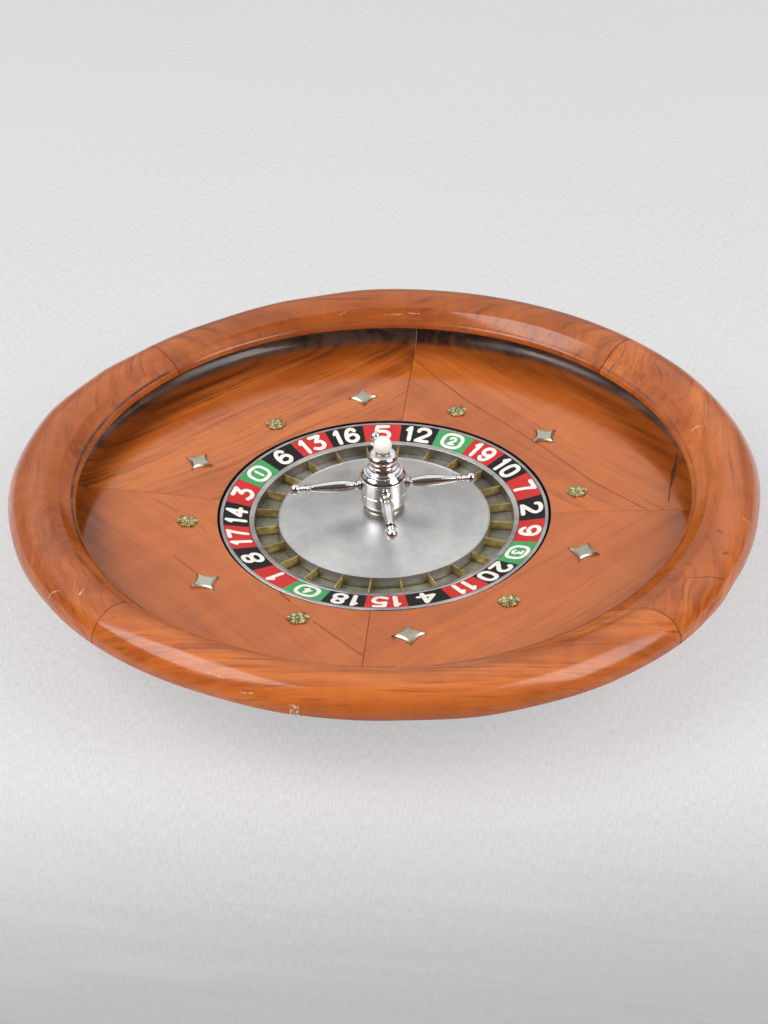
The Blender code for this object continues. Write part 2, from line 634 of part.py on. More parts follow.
def build_pockets(collection, cutters, rotor, lip_inner):
    """Nearly level pocket floor, and upright brass frets standing on hoops in four strips."""
    outer = lip_inner - SEAT_GAP
    hoop_inner = CONE_RADIUS + SEAT_GAP
    hoop_outer = hoop_inner + FRET_HOOP_THICKNESS
    inner = hoop_outer + SEAT_GAP
    bed = level(-ROTOR_BED_DROP)
    turned("pocket_pan", [
        (outer, level(floor_rise(outer, outer, inner))), (outer, bed), (inner, bed),
        (inner, level(floor_rise(inner, outer, inner))),
    ], WORN_METAL, collection, rotor)
    fret_outer = lip_inner - SEAT_GAP
    foot_outer = level(floor_rise(fret_outer, outer, inner)) + SEAT_GAP
    foot_inner = level(floor_rise(hoop_inner, outer, inner)) + SEAT_GAP
    sweep = 2 * pi / FRET_SEGMENT_COUNT
    frets_each = POCKET_COUNT // FRET_SEGMENT_COUNT
    for segment in range(FRET_SEGMENT_COUNT):
        hoop = turned_segment(f"fret_strip_{segment + 1}", [
            (hoop_inner, bed + FRET_HOOP_HEIGHT), (hoop_outer, bed + FRET_HOOP_HEIGHT), (hoop_outer, bed),
            (hoop_inner, bed),
        ], segment * sweep, sweep - SEAM_GAP / hoop_inner, RING_STEPS // FRET_SEGMENT_COUNT, BRASS, collection)
        hoop.parent = rotor
        hoop.matrix_parent_inverse = rotor.matrix_world.inverted()
        model = bmesh.new()
        for index in range(frets_each):
            turn = 2 * pi * (segment * frets_each + index + POCKET_TURN_SHARE) / POCKET_COUNT
            add_fret(model, turn, (hoop_inner, foot_inner), (fret_outer, foot_outer))
        mesh = bpy.data.meshes.new(f"frets_{segment + 1}")
        model.to_mesh(mesh)
        model.free()
        frets = bpy.data.objects.new(f"frets_{segment + 1}", mesh)
        cutters.objects.link(frets)
        frets.hide_render = True
        frets.display_type = "WIRE"
        joined = hoop.modifiers.new("frets", "BOOLEAN")
        joined.operation = "UNION"
        joined.solver = "EXACT"
        joined.object = frets


def add_fret(model, turn, near, far):
    """Thin upright plate from near to far, its foot just over the floor, thinner at its level top."""
    grown = bmesh.ops.create_cube(model, size=1.0)
    place = Matrix.Rotation(turn, 4, "Z")
    for corner in grown["verts"]:
        radius, foot = far if corner.co.x > 0 else near
        high = corner.co.z > 0
        side = 1 if corner.co.y > 0 else -1
        half = FRET_TOP_THICKNESS / 2 if high else FRET_THICKNESS / 2
        corner.co = place @ Vector((radius, side * half, level(-FRET_TOP_DROP) if high else foot))


def build_cone(collection, rotor):
    """Turned metal cone over the middle of the rotor, with a beaded edge and a skirt down to the disc."""
    bed = level(-ROTOR_BED_DROP)
    bore = HUB_SLEEVE_RADIUS + SEAT_GAP
    edge = level(-CONE_EDGE_DROP)
    crown = level(CONE_TOP_RISE)
    bead = CONE_RADIUS - CONE_BEAD_WIDTH
    turned("cone_cover", [
        (bore, crown), (CONE_TOP_RADIUS, crown), (bead, edge), (bead, edge + CONE_BEAD_HEIGHT),
        (CONE_RADIUS, edge + CONE_BEAD_HEIGHT / 2), (CONE_RADIUS, bed), (CONE_RADIUS - CONE_SHEET, bed),
        (CONE_RADIUS - CONE_SHEET, edge - CONE_SHEET), (bore, crown - CONE_SHEET),
    ], CONE_METAL, collection, rotor)


def cap_top_rise():
    return TURRET_BASE_TOP_RISE + SEAT_GAP + TURRET_HUB_HEIGHT + SEAT_GAP + TURRET_CAP_HEIGHT


def ball_centre_rise():
    """The ball rests on the inner edge of its seat, which stands a little proud of the cap."""
    return cap_top_rise() + SEAT_PROUD + sqrt((BALL_RADIUS + SEAT_GAP) ** 2 - SEAT_INNER_RADIUS ** 2)


def build_turret(collection, cutters, rotor):
    """Base ring, hub with four threaded sockets, stepped cap, brass ball seat."""
    bore = HUB_SLEEVE_RADIUS + SEAT_GAP
    bottom = level(CONE_TOP_RISE) + SEAT_GAP
    base_top = level(TURRET_BASE_TOP_RISE)
    flange = TURRET_BASE_RADIUS + TURRET_BASE_FLANGE
    waist = [(TURRET_BASE_RADIUS * across, bottom + TURRET_BASE_FLANGE_HEIGHT
              + (base_top - bottom - TURRET_BASE_FLANGE_HEIGHT) * up)
             for across, up in reversed(TURRET_BASE_WAIST_SHARES)]
    turned("turret_base", [(bore, base_top)] + waist + [
        (TURRET_BASE_RADIUS, bottom + TURRET_BASE_FLANGE_HEIGHT), (flange, bottom + TURRET_BASE_FLANGE_HEIGHT / 2),
        (flange, bottom), (bore, bottom),
    ], BRASS, collection, rotor, steps=HUB_STEPS)
    hub_bottom = base_top + SEAT_GAP
    hub_top = hub_bottom + TURRET_HUB_HEIGHT
    blind = level(HUB_SLEEVE_RISE) + SEAT_GAP
    outside = [(TURRET_HUB_RADIUS * across, hub_bottom + TURRET_HUB_HEIGHT * up)
               for across, up in TURRET_HUB_SHARES]
    hub = turned("turret_hub", [(0, hub_top)] + outside + [(bore, hub_bottom), (bore, blind), (0, blind)],
                 CHROME, collection, rotor, steps=HUB_STEPS, open_ends=True)
    wall = hub_wall_radius()
    for index in range(ARM_COUNT):
        turn = ARM_TURN + 2 * pi * index / ARM_COUNT
        depth = ARM_SPIGOT_LENGTH + 2 * SEAT_GAP + CUT_OVERRUN
        place = Matrix.Rotation(turn, 4, "Z") @ Matrix.Translation(
            (wall + CUT_OVERRUN - depth / 2, 0, level(ARM_RISE))) @ Matrix.Rotation(pi / 2, 4, "Y")
        socket = add_cylinder(f"socket_cutter_{index + 1}", ARM_SPIGOT_RADIUS + SEAT_GAP, depth, place,
                              ARM_STEPS, cutters)
        cut(hub, socket)
    cap_bottom = hub_top + SEAT_GAP
    cap_top = cap_bottom + TURRET_CAP_HEIGHT
    seat_top = cap_top + SEAT_PROUD
    seat_bottom = seat_top - SEAT_HEIGHT
    recess = seat_bottom - SEAT_GAP
    recess_radius = SEAT_OUTER_RADIUS + SEAT_GAP
    outside = [(TURRET_CAP_RADIUS * across, cap_bottom + TURRET_CAP_HEIGHT * up)
               for across, up in TURRET_CAP_SHARES]
    turned("turret_cap", [(0, recess), (recess_radius, recess), (recess_radius, cap_top)] + outside
           + [(0, cap_bottom)], CHROME, collection, rotor, steps=HUB_STEPS, open_ends=True)
    turned("ball_seat", [
        (SEAT_INNER_RADIUS, seat_top), (SEAT_OUTER_RADIUS, seat_top), (SEAT_OUTER_RADIUS, seat_bottom),
        (SEAT_INNER_RADIUS, seat_bottom),
    ], BRASS, collection, rotor, steps=HUB_STEPS)


def hub_wall_radius():
    """Radius of the hub's upright wall, which the arms stand against."""
    return TURRET_HUB_RADIUS * TURRET_HUB_SHARES[3][0]


def build_arms(collection, rotor):
    """Four turned baluster arms with ball ends, each with a spigot in the hub."""
    start = hub_wall_radius() + SEAT_GAP
    for index in range(ARM_COUNT):
        turn = ARM_TURN + 2 * pi * index / ARM_COUNT
        profile = [(0, -ARM_SPIGOT_LENGTH), (ARM_SPIGOT_RADIUS, -ARM_SPIGOT_LENGTH), (ARM_SPIGOT_RADIUS, 0)]
        profile += [(ARM_RADIUS * width, ARM_LENGTH * along) for along, width in ARM_SHARES]
        middle = ARM_LENGTH - ARM_BALL_RADIUS
        for step in range(ARM_BALL_POINTS):
            swing = radians(145) - radians(145) * step / (ARM_BALL_POINTS - 1)
            profile.append((ARM_BALL_RADIUS * sin(swing), middle + ARM_BALL_RADIUS * cos(swing)))
        profile = list(reversed(profile))
        arm = turned(f"turret_arm_{index + 1}", profile, CHROME, collection, None, steps=ARM_STEPS,
                     open_ends=True)
        arm.matrix_world = (Matrix.Rotation(turn, 4, "Z") @ Matrix.Translation((start, 0, level(ARM_RISE)))
                            @ Matrix.Rotation(pi / 2, 4, "Y"))
        placed = arm.matrix_world.copy()
        arm.parent = rotor
        arm.matrix_parent_inverse = rotor.matrix_world.inverted()
        arm.matrix_world = placed


def build_ball(collection):
    model = bmesh.new()
    bmesh.ops.create_uvsphere(model, u_segments=BALL_STEPS, v_segments=BALL_STEPS // 2, radius=BALL_RADIUS)
    mesh = bpy.data.meshes.new("ball")
    model.to_mesh(mesh)
    model.free()
    shade_round(mesh)
    ball = add_object("ball", mesh, IVORY, collection)
    ball.location = (0, 0, level(ball_centre_rise()))


def build_wheel():
    for thing in list(bpy.data.objects):
        bpy.data.objects.remove(thing, do_unlink=True)
    wheel = bpy.data.collections.new("roulette_wheel")
    cutters = bpy.data.collections.new("cutters")
    bpy.context.scene.collection.children.link(wheel)
    bpy.context.scene.collection.children.link(cutters)
    rotor = bpy.data.objects.new("rotor_axis", None)
    rotor.location = (0, 0, RING_LEVEL)
    wheel.objects.link(rotor)
    bpy.context.view_layer.update()
    build_base(wheel, cutters)
    build_panels(wheel)
    build_rim(wheel)
    build_ornaments(wheel)
    sleeve_bottom = build_spindle(wheel, cutters)
    build_rotor_body(wheel, rotor, sleeve_bottom)
    lip_inner = build_rings(wheel, rotor)
    build_pockets(wheel, cutters, rotor, lip_inner)
    build_cone(wheel, rotor)
    build_turret(wheel, cutters, rotor)
    build_arms(wheel, rotor)
    build_ball(wheel)


build_wheel()
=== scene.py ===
import bpy
from math import atan2, cos, degrees, hypot, pi, radians, sin
from mathutils import Matrix, Vector


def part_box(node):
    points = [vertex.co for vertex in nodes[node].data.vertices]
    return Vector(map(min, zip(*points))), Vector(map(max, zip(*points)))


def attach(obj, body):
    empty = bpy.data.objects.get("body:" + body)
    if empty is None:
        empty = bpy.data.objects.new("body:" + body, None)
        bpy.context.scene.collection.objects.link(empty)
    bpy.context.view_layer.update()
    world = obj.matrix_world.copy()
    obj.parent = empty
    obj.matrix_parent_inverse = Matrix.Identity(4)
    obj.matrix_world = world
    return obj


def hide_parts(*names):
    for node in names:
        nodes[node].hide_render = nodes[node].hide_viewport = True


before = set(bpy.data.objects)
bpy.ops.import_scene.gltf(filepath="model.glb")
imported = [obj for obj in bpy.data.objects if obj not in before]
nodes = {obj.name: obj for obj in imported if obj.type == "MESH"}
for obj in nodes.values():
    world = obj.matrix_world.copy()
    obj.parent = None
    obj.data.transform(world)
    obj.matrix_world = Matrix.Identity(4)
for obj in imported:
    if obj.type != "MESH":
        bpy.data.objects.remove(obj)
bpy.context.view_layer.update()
ringLevel = 0.054  # the number ring's outer edge above the table
ringSteps = 192
mergeGap = 0.000004  # corners nearer than this are one
print("frame loaded:", len(nodes), "nodes")

view = {"distance": 1.95, "elevation": radians(34.6), "roll": radians(-1.27), "focal": 1810.5,
        "high": 1024, "shiftY": -0.0033, "sensor": 36, "reach": 60}
cameraData = bpy.data.cameras.new("camera")
camera = bpy.data.objects.new("camera", cameraData)
bpy.context.scene.collection.objects.link(camera)
towards = Vector((0, cos(view["elevation"]), -sin(view["elevation"])))
looking = towards.to_track_quat("-Z", "Y").to_matrix().to_4x4()
stand = Vector((0, 0, ringLevel)) - towards * view["distance"]
camera.matrix_world = Matrix.Translation(stand) @ looking @ Matrix.Rotation(view["roll"], 4, "Z")
cameraData.sensor_fit = "AUTO"
cameraData.sensor_width = view["sensor"]
cameraData.lens = view["focal"] / view["high"] * view["sensor"]
cameraData.shift_y = view["shiftY"]
cameraData.clip_end = view["reach"]
bpy.context.scene.camera = camera
bpy.context.scene.view_settings.view_transform = "Standard"


class Flow:  # a shader socket that can be reckoned with
    def __init__(self, tree, socket):
        self.tree = tree
        self.socket = socket

    def maths(self, operation, *others):
        made = self.tree.nodes.new("ShaderNodeMath")
        made.operation = operation
        for slot, value in zip(made.inputs, (self,) + others):
            fill(self.tree, slot, value)
        return Flow(self.tree, made.outputs[0])

    def __add__(self, other):
        return self.maths("ADD", other)

    def __sub__(self, other):
        return self.maths("SUBTRACT", other)

    def __mul__(self, other):
        return self.maths("MULTIPLY", other)


def fill(tree, slot, value):
    if isinstance(value, Flow):
        tree.links.new(value.socket, slot)
    else:
        slot.default_value = value


def tone(value):
    return value if isinstance(value, Flow) else (*value, 1)


class Board:  # a node tree with the sums that the finishes share
    def __init__(self, tree):
        self.tree = tree

    def node(self, kind, settings=None, values=None, out=0):
        made = self.tree.nodes.new("ShaderNode" + kind)
        for key, value in (settings or {}).items():
            setattr(made, key, value)
        for key, value in (values or {}).items():
            fill(self.tree, made.inputs[key], value)
        return Flow(self.tree, made.outputs[out])

    def turned(self, vector, turn, place=(0, 0, 0)):
        return self.node("Mapping", {},
                         {"Vector": vector, "Rotation": (0, 0, turn), "Location": place})

    def vectorMaths(self, operation, *values, out=0):
        return self.node("VectorMath", {"operation": operation}, dict(enumerate(values)), out)

    def scaled(self, vector, size):
        return self.node("VectorMath", {"operation": "SCALE"}, {0: vector, "Scale": size})

    def noise(self, vector, scale=1.0, detail=3.0, rough=0.5, warp=0.0):
        return self.node("TexNoise", {},
                         {"Vector": vector, "Scale": scale, "Detail": detail, "Roughness": rough,
                          "Distortion": warp})

    def streaked(self, vector, stretch, detail, rough=0.5, warp=0.0):  # another scale each way
        return self.noise(self.vectorMaths("MULTIPLY", vector, stretch), 1.0, detail, rough, warp)

    def step(self, value, low, high, start=0.0, end=1.0):
        return self.node("MapRange", {"interpolation_type": "SMOOTHSTEP"},
                         {"Value": value, "From Min": low, "From Max": high,
                          "To Min": start, "To Max": end})

    def parts(self, vector):
        split = self.tree.nodes.new("ShaderNodeSeparateXYZ")
        fill(self.tree, split.inputs[0], vector)
        return [Flow(self.tree, split.outputs[index]) for index in range(3)]

    def vector(self, x, y, z):
        return self.node("CombineXYZ", {}, {0: x, 1: y, 2: z})

    def radius(self, vector):
        x, y = self.parts(vector)[:2]
        return self.vectorMaths("LENGTH", self.vector(x, y, 0.0), out="Value")

    def mix(self, share, first, second):
        made = self.tree.nodes.new("ShaderNodeMix")
        made.data_type = "RGBA"
        fill(self.tree, made.inputs[0], share)
        fill(self.tree, made.inputs[6], tone(first))
        fill(self.tree, made.inputs[7], tone(second))
        return Flow(self.tree, made.outputs[2])

    def lineDistance(self, place, points):  # distance to a run of points given in millimetres
        nearest = None
        for (ax, ay), (bx, by) in zip(points, points[1:]):
            run = Vector((bx - ax, by - ay, 0)) / 1000
            off = self.vectorMaths("SUBTRACT", place, (ax / 1000, ay / 1000, 0))
            along = self.vectorMaths("DOT_PRODUCT", off, tuple(run / run.length_squared), out="Value")
            foot = self.scaled(tuple(run), along.maths("MAXIMUM", 0.0).maths("MINIMUM", 1.0))
            away = self.vectorMaths("DISTANCE", off, foot, out="Value")
            nearest = nearest.maths("MINIMUM", away) if nearest else away
        return nearest

    def near(self, place, lines, soft):  # 1 on the lines, 0 away from them
        gap = None
        for width, points in lines:
            away = self.lineDistance(place, points) - width / 1000
            gap = gap.maths("MINIMUM", away) if gap else away
        return self.step(gap, -soft / 2000, soft / 1000, 1.0, 0.0)


class Finish(Board):  # one material and its nodes
    def __init__(self, name, colour=(0.5, 0.5, 0.5), roughness=0.5, metallic=0.0, specular=0.5):
        self.material = bpy.data.materials.new(name)
        self.material.use_nodes = True
        super().__init__(self.material.node_tree)
        self.shader = self.tree.nodes["Principled BSDF"]
        self.material.diffuse_color = (*colour, 1)
        self.set("Base Color", (*colour, 1))
        self.set("Roughness", roughness)
        self.set("Metallic", metallic)
        self.set("Specular IOR Level", specular)
        self.object = self.node("TexCoord", out="Object")

    def set(self, socket, value):
        fill(self.tree, self.shader.inputs[socket], value)

    def bump(self, height, strength, distance):
        self.set("Normal", self.node("Bump", {},
                                     {"Height": height, "Strength": strength, "Distance": distance}))

    def spots(self, scale, detail, rough, low, high, start=0.0, end=1.0):
        return self.step(self.noise(self.object, scale, detail, rough), low, high, start, end)

    def scratches(self, turn, density=900, length=14):
        swung = self.turned(self.object, turn)
        return self.step(self.streaked(swung, (length, density, density), 2.0, 0.6), 0.62, 0.7)


ground = {"size": 14, "place": (0, 2.0, -0.0004), "selfLit": 0.62, "foldTurn": 0.16,
          "pictureEnd": (-1.3, -0.75), "darkening": (-0.68, -0.32), "folding": (-0.6, -0.34)}


def makeFloor():  # linen, with painted shade darkening it in front of the wheel, creased there
    cloth = Finish("floorCloth", (0.72, 0.72, 0.73), 0.9, specular=0.2)
    y = cloth.parts(cloth.object)[1]
    warp = cloth.streaked(cloth.object, (760, 90, 1), 2.0)
    weft = cloth.streaked(cloth.object, (110, 700, 1), 2.0)
    threads = warp * 0.62 + weft * 0.38
    pale = cloth.mix(cloth.step(threads, 0.33, 0.67), (0.665, 0.662, 0.672), (0.8, 0.795, 0.8))
    pale = cloth.mix(cloth.spots(2.0, 3.0, 0.5, 0.3, 0.7, 0.0, 0.3), pale, (0.765, 0.76, 0.765))
    shown = cloth.step(y, *ground["pictureEnd"])
    # painted shade: the cloth is darkened towards the front, where the light falls off
    frontShade = cloth.step(y, *ground["darkening"], 0.8, 0.0) * shown
    pale = cloth.mix(frontShade, pale, (0.38, 0.38, 0.385))
    folds = cloth.streaked(cloth.turned(cloth.object, ground["foldTurn"]), (3.2, 24, 1), 3.0, 0.5, 0.5)
    creased = cloth.step(y, *ground["folding"], 1.0, 0.0) * shown
    # painted shade and painted highlight along the folds, on top of their bump
    pale = cloth.mix(cloth.step(folds, 0.5, 0.62, 0.0, 0.09) * creased, pale, (0.45, 0.45, 0.455))
    pale = cloth.mix(cloth.step(folds, 0.44, 0.34, 0.0, 0.05) * creased, pale, (0.88, 0.88, 0.88))
    cloth.set("Base Color", pale)
    cloth.bump(threads * 0.05 + folds * (creased + 0.15), 0.45, 0.012)
    path = cloth.tree.nodes.new("ShaderNodeLightPath")
    seen = Flow(cloth.tree, path.outputs["Is Camera Ray"]) * ground["selfLit"]
    glow = cloth.node("Emission", {}, {"Color": pale, "Strength": 1.0})
    shaded = Flow(cloth.tree, cloth.shader.outputs[0])
    both = cloth.node("MixShader", {}, {0: seen, 1: shaded, 2: glow})
    cloth.tree.links.new(both.socket, cloth.tree.nodes["Material Output"].inputs["Surface"])
    clearSelection()
    bpy.ops.mesh.primitive_plane_add(size=ground["size"], location=ground["place"])
    floor = bpy.context.object
    floor.name = "floor"
    bpy.ops.object.transform_apply(location=True, rotation=False, scale=False)
    floor.data.materials.append(cloth.material)


lamps = {"left": {"place": (-2.39, -0.87, 2.82), "size": (2.4, 2.4), "power": 84},
         "right": {"place": (2.64, -1.4, 2.34), "size": (2.0, 2.4), "power": 66}}
lampAim = Vector((0, 0, 0.05))


def lightStage():  # two soft boxes beside the camera, a pale wall behind
    for name, lamp in lamps.items():
        data = bpy.data.lights.new(name, "AREA")
        data.shape = "RECTANGLE"
        data.size, data.size_y = lamp["size"]
        data.energy = lamp["power"]
        holder = bpy.data.objects.new(name, data)
        bpy.context.scene.collection.objects.link(holder)
        place = Vector(lamp["place"])
        facing = (lampAim - place).to_track_quat("-Z", "Y").to_matrix().to_4x4()
        holder.matrix_world = Matrix.Translation(place) @ facing
    world = bpy.data.worlds.new("studio")
    bpy.context.scene.world = world
    world.use_nodes = True
    air = Board(world.node_tree)
    y, z = air.parts(air.node("TexCoord", out="Generated"))[1:]
    wall = air.step(z * 0.65 + y * 1.1, 0.3, 0.62, 0.09, 0.92) * air.step(z, 0.3, 0.58, 0.4, 1.0)
    around = air.step(y, -0.8, 0.6, 0.76, 0.38)
    lit, mirrored, seen = [air.node("Background", {}, {"Color": colour}) for colour in (
        air.vector(around, around, around), air.vector(wall, wall, wall), (0.8, 0.8, 0.81, 1))]
    path = air.tree.nodes.new("ShaderNodeLightPath")
    glossy = Flow(air.tree, path.outputs["Is Glossy Ray"])
    direct = Flow(air.tree, path.outputs["Is Camera Ray"])
    first = air.node("MixShader", {}, {0: glossy, 1: lit, 2: mirrored})
    last = air.node("MixShader", {}, {0: direct, 1: first, 2: seen})
    air.tree.links.new(last.socket, air.tree.nodes["World Output"].inputs["Surface"])


def enter(mode):
    bpy.ops.object.mode_set(mode=mode)


def clearSelection():
    if bpy.context.object and bpy.context.object.mode != "OBJECT":
        enter("OBJECT")
    bpy.ops.object.select_all(action="DESELECT")


def takeAll():
    bpy.ops.mesh.select_all(action="SELECT")


def spun(turn):
    return Matrix.Rotation(turn, 4, "Z")


def choose(*pieces):  # these selected, the first of them active
    clearSelection()
    for piece in pieces:
        piece.select_set(True)
    bpy.context.view_layer.objects.active = pieces[0]


def rise(points):  # (radius, rise) in millimetres to metres above the table
    return [(radius / 1000, ringLevel + height / 1000) for radius, height in points]


def arc(radius, height, size, first, last, count):
    turns = [radians(first + (last - first) * index / (count - 1)) for index in range(count)]
    return [(radius + size * cos(turn), height + size * sin(turn)) for turn in turns]


def smoothRun(points, each=4):  # a Catmull-Rom run through the points
    ends = [points[0]] + list(points) + [points[-1]]
    run = []
    for a, b, c, d in zip(ends, ends[1:], ends[2:], ends[3:]):
        for index in range(each):
            t = index / each
            run.append(tuple(
                0.5 * (2 * q + (r - p) * t + (2 * p - 5 * q + 4 * r - s) * t * t
                       + (3 * q - p - 3 * r + s) * t ** 3) for p, q, r, s in zip(a, b, c, d)))
    return run + [tuple(points[-1])]


def drawProfile(name, points):  # a plane merged to one corner and drawn out point by point
    clearSelection()
    bpy.ops.mesh.primitive_plane_add(size=0.001)
    piece = bpy.context.object
    piece.name = name
    piece.data.name = name
    enter("EDIT")
    bpy.ops.mesh.select_mode(type="VERT")
    takeAll()
    bpy.ops.mesh.merge(type="CENTER")
    bpy.ops.transform.translate(value=(points[0][0], 0, points[0][1]))
    for here, there in zip(points, points[1:]):
        bpy.ops.mesh.extrude_region_move(
            TRANSFORM_OT_translate={"value": (there[0] - here[0], 0, there[1] - here[1])})
    return piece


def applyAll(piece):
    choose(piece)
    for modifier in list(piece.modifiers):
        bpy.ops.object.modifier_apply(modifier=modifier.name)


def closeUp(piece, angle=32):  # merged, faced outwards, smooth where it is round
    choose(piece)
    enter("EDIT")
    takeAll()
    bpy.ops.mesh.remove_doubles(threshold=mergeGap)
    bpy.ops.mesh.normals_make_consistent(inside=False)
    enter("OBJECT")
    bpy.ops.object.shade_smooth_by_angle(angle=radians(angle))


def roundEdges(piece, width, angle=30):
    bevel = piece.modifiers.new("roundEdges", "BEVEL")
    bevel.width = width
    bevel.segments = 2
    bevel.limit_method = "ANGLE"
    bevel.angle_limit = radians(angle)
    bevel.use_clamp_overlap = True
    applyAll(piece)


def joinUp(pieces):
    choose(*pieces)
    if len(pieces) > 1:
        bpy.ops.object.join()
    return bpy.context.object


def copied(piece, name, move):  # a copy with its own mesh, moved within the mesh
    choose(piece)
    bpy.ops.object.duplicate()
    another = bpy.context.object
    another.name = name
    another.data.name = name
    another.data.transform(move)
    return another


def lathe(name, points, steps=ringSteps, onAxis=False, bevel=0.0):  # points in metres
    piece = drawProfile(name, points)
    if not onAxis:
        takeAll()
        bpy.ops.mesh.edge_face_add()
        bpy.ops.mesh.delete(type="ONLY_FACE")
    enter("OBJECT")
    turn = piece.modifiers.new("turn", "SCREW")
    turn.steps = turn.render_steps = steps
    turn.use_merge_vertices = True
    turn.merge_threshold = mergeGap
    applyAll(piece)
    closeUp(piece)
    if bevel:
        roundEdges(piece, bevel)
        closeUp(piece)
    return piece


def ringSegment(name, points, start, sweep, steps, bevel=0.0):
    piece = drawProfile(name, points)
    takeAll()
    bpy.ops.mesh.edge_face_add()
    bpy.ops.transform.rotate(value=-start, orient_axis="Z", center_override=(0, 0, 0))
    takeAll()
    bpy.ops.mesh.spin(steps=steps, angle=-sweep, center=(0, 0, 0), axis=(0, 0, 1))
    enter("OBJECT")
    closeUp(piece)
    if bevel:
        roundEdges(piece, bevel, 40)
        closeUp(piece)
    return piece


def finished(piece, body, finish, slot, *stands):
    piece.data.materials.clear()
    piece.data.materials.append(finish.material)
    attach(piece, body)
    if stands:
        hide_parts(*stands)
    return piece


def turnedPiece(name, points, steps, finish, slot, node, **more):  # lathed in place on the rotor
    return finished(lathe(name, rise(points), steps, **more), "rotor", finish, slot, node)


def dress(node, finish):
    mesh = nodes[node].data
    if not mesh.materials:
        mesh.materials.append(finish.material)
    for index in range(len(mesh.materials)):
        mesh.materials[index] = finish.material


makeFloor()
lightStage()
print("stage ready")


wood = {"deep": (0.29, 0.06, 0.01), "main": (0.515, 0.125, 0.022), "pale": (0.66, 0.19, 0.038),
        "burnt": (0.045, 0.018, 0.009), "vein": (0.15, 0.034, 0.008), "chipped": (0.62, 0.5, 0.37)}


darkBands = {"underLipShade": (0.292, 0.328), "cove": (0.337, 0.344), "trackEdge": (0.1792, 0.1797),
           "slope": 0.877, "topSide": (-0.2412, -0.239), "grooveIn": (0.326, 0.327),
           "grooveOut": (0.3284, 0.33)}


def shadeAndStainUnderLip(f, body, rough, broad, streaks, share):  # painted shade with streaky stain under the rim's lip, a dark cove, black at the rotor
    reach = f.radius(f.object)
    edge = reach + (broad - 0.5) * 0.055 + (streaks - 0.5) * 0.03 * share
    stainAndShade = f.mix(f.step(streaks, 0.38, 0.6), (0.27, 0.058, 0.008), (0.1, 0.026, 0.007))
    above = f.step(f.parts(f.object)[2] - reach * darkBands["slope"], *darkBands["topSide"])
    # painted shade under the rim's overhanging lip, mixed with streaky stain
    body = f.mix(f.step(edge, *darkBands["underLipShade"], 0.0, 0.34 + 0.46 * share) * above, body, stainAndShade)
    hollow = f.step(reach, *darkBands["cove"], 0.0, 0.92) * above
    shade = f.mix(f.step(streaks, 0.42, 0.62), (0.13, 0.074, 0.05), (0.04, 0.022, 0.016))
    body = f.mix(hollow, body, shade)
    rough = rough + hollow * f.step(broad, 0.4, 0.6, 0.0, 0.2)
    return f.mix(f.step(reach, *darkBands["trackEdge"], 1.0, 0.0), body, (0.004, 0.003, 0.003)), rough


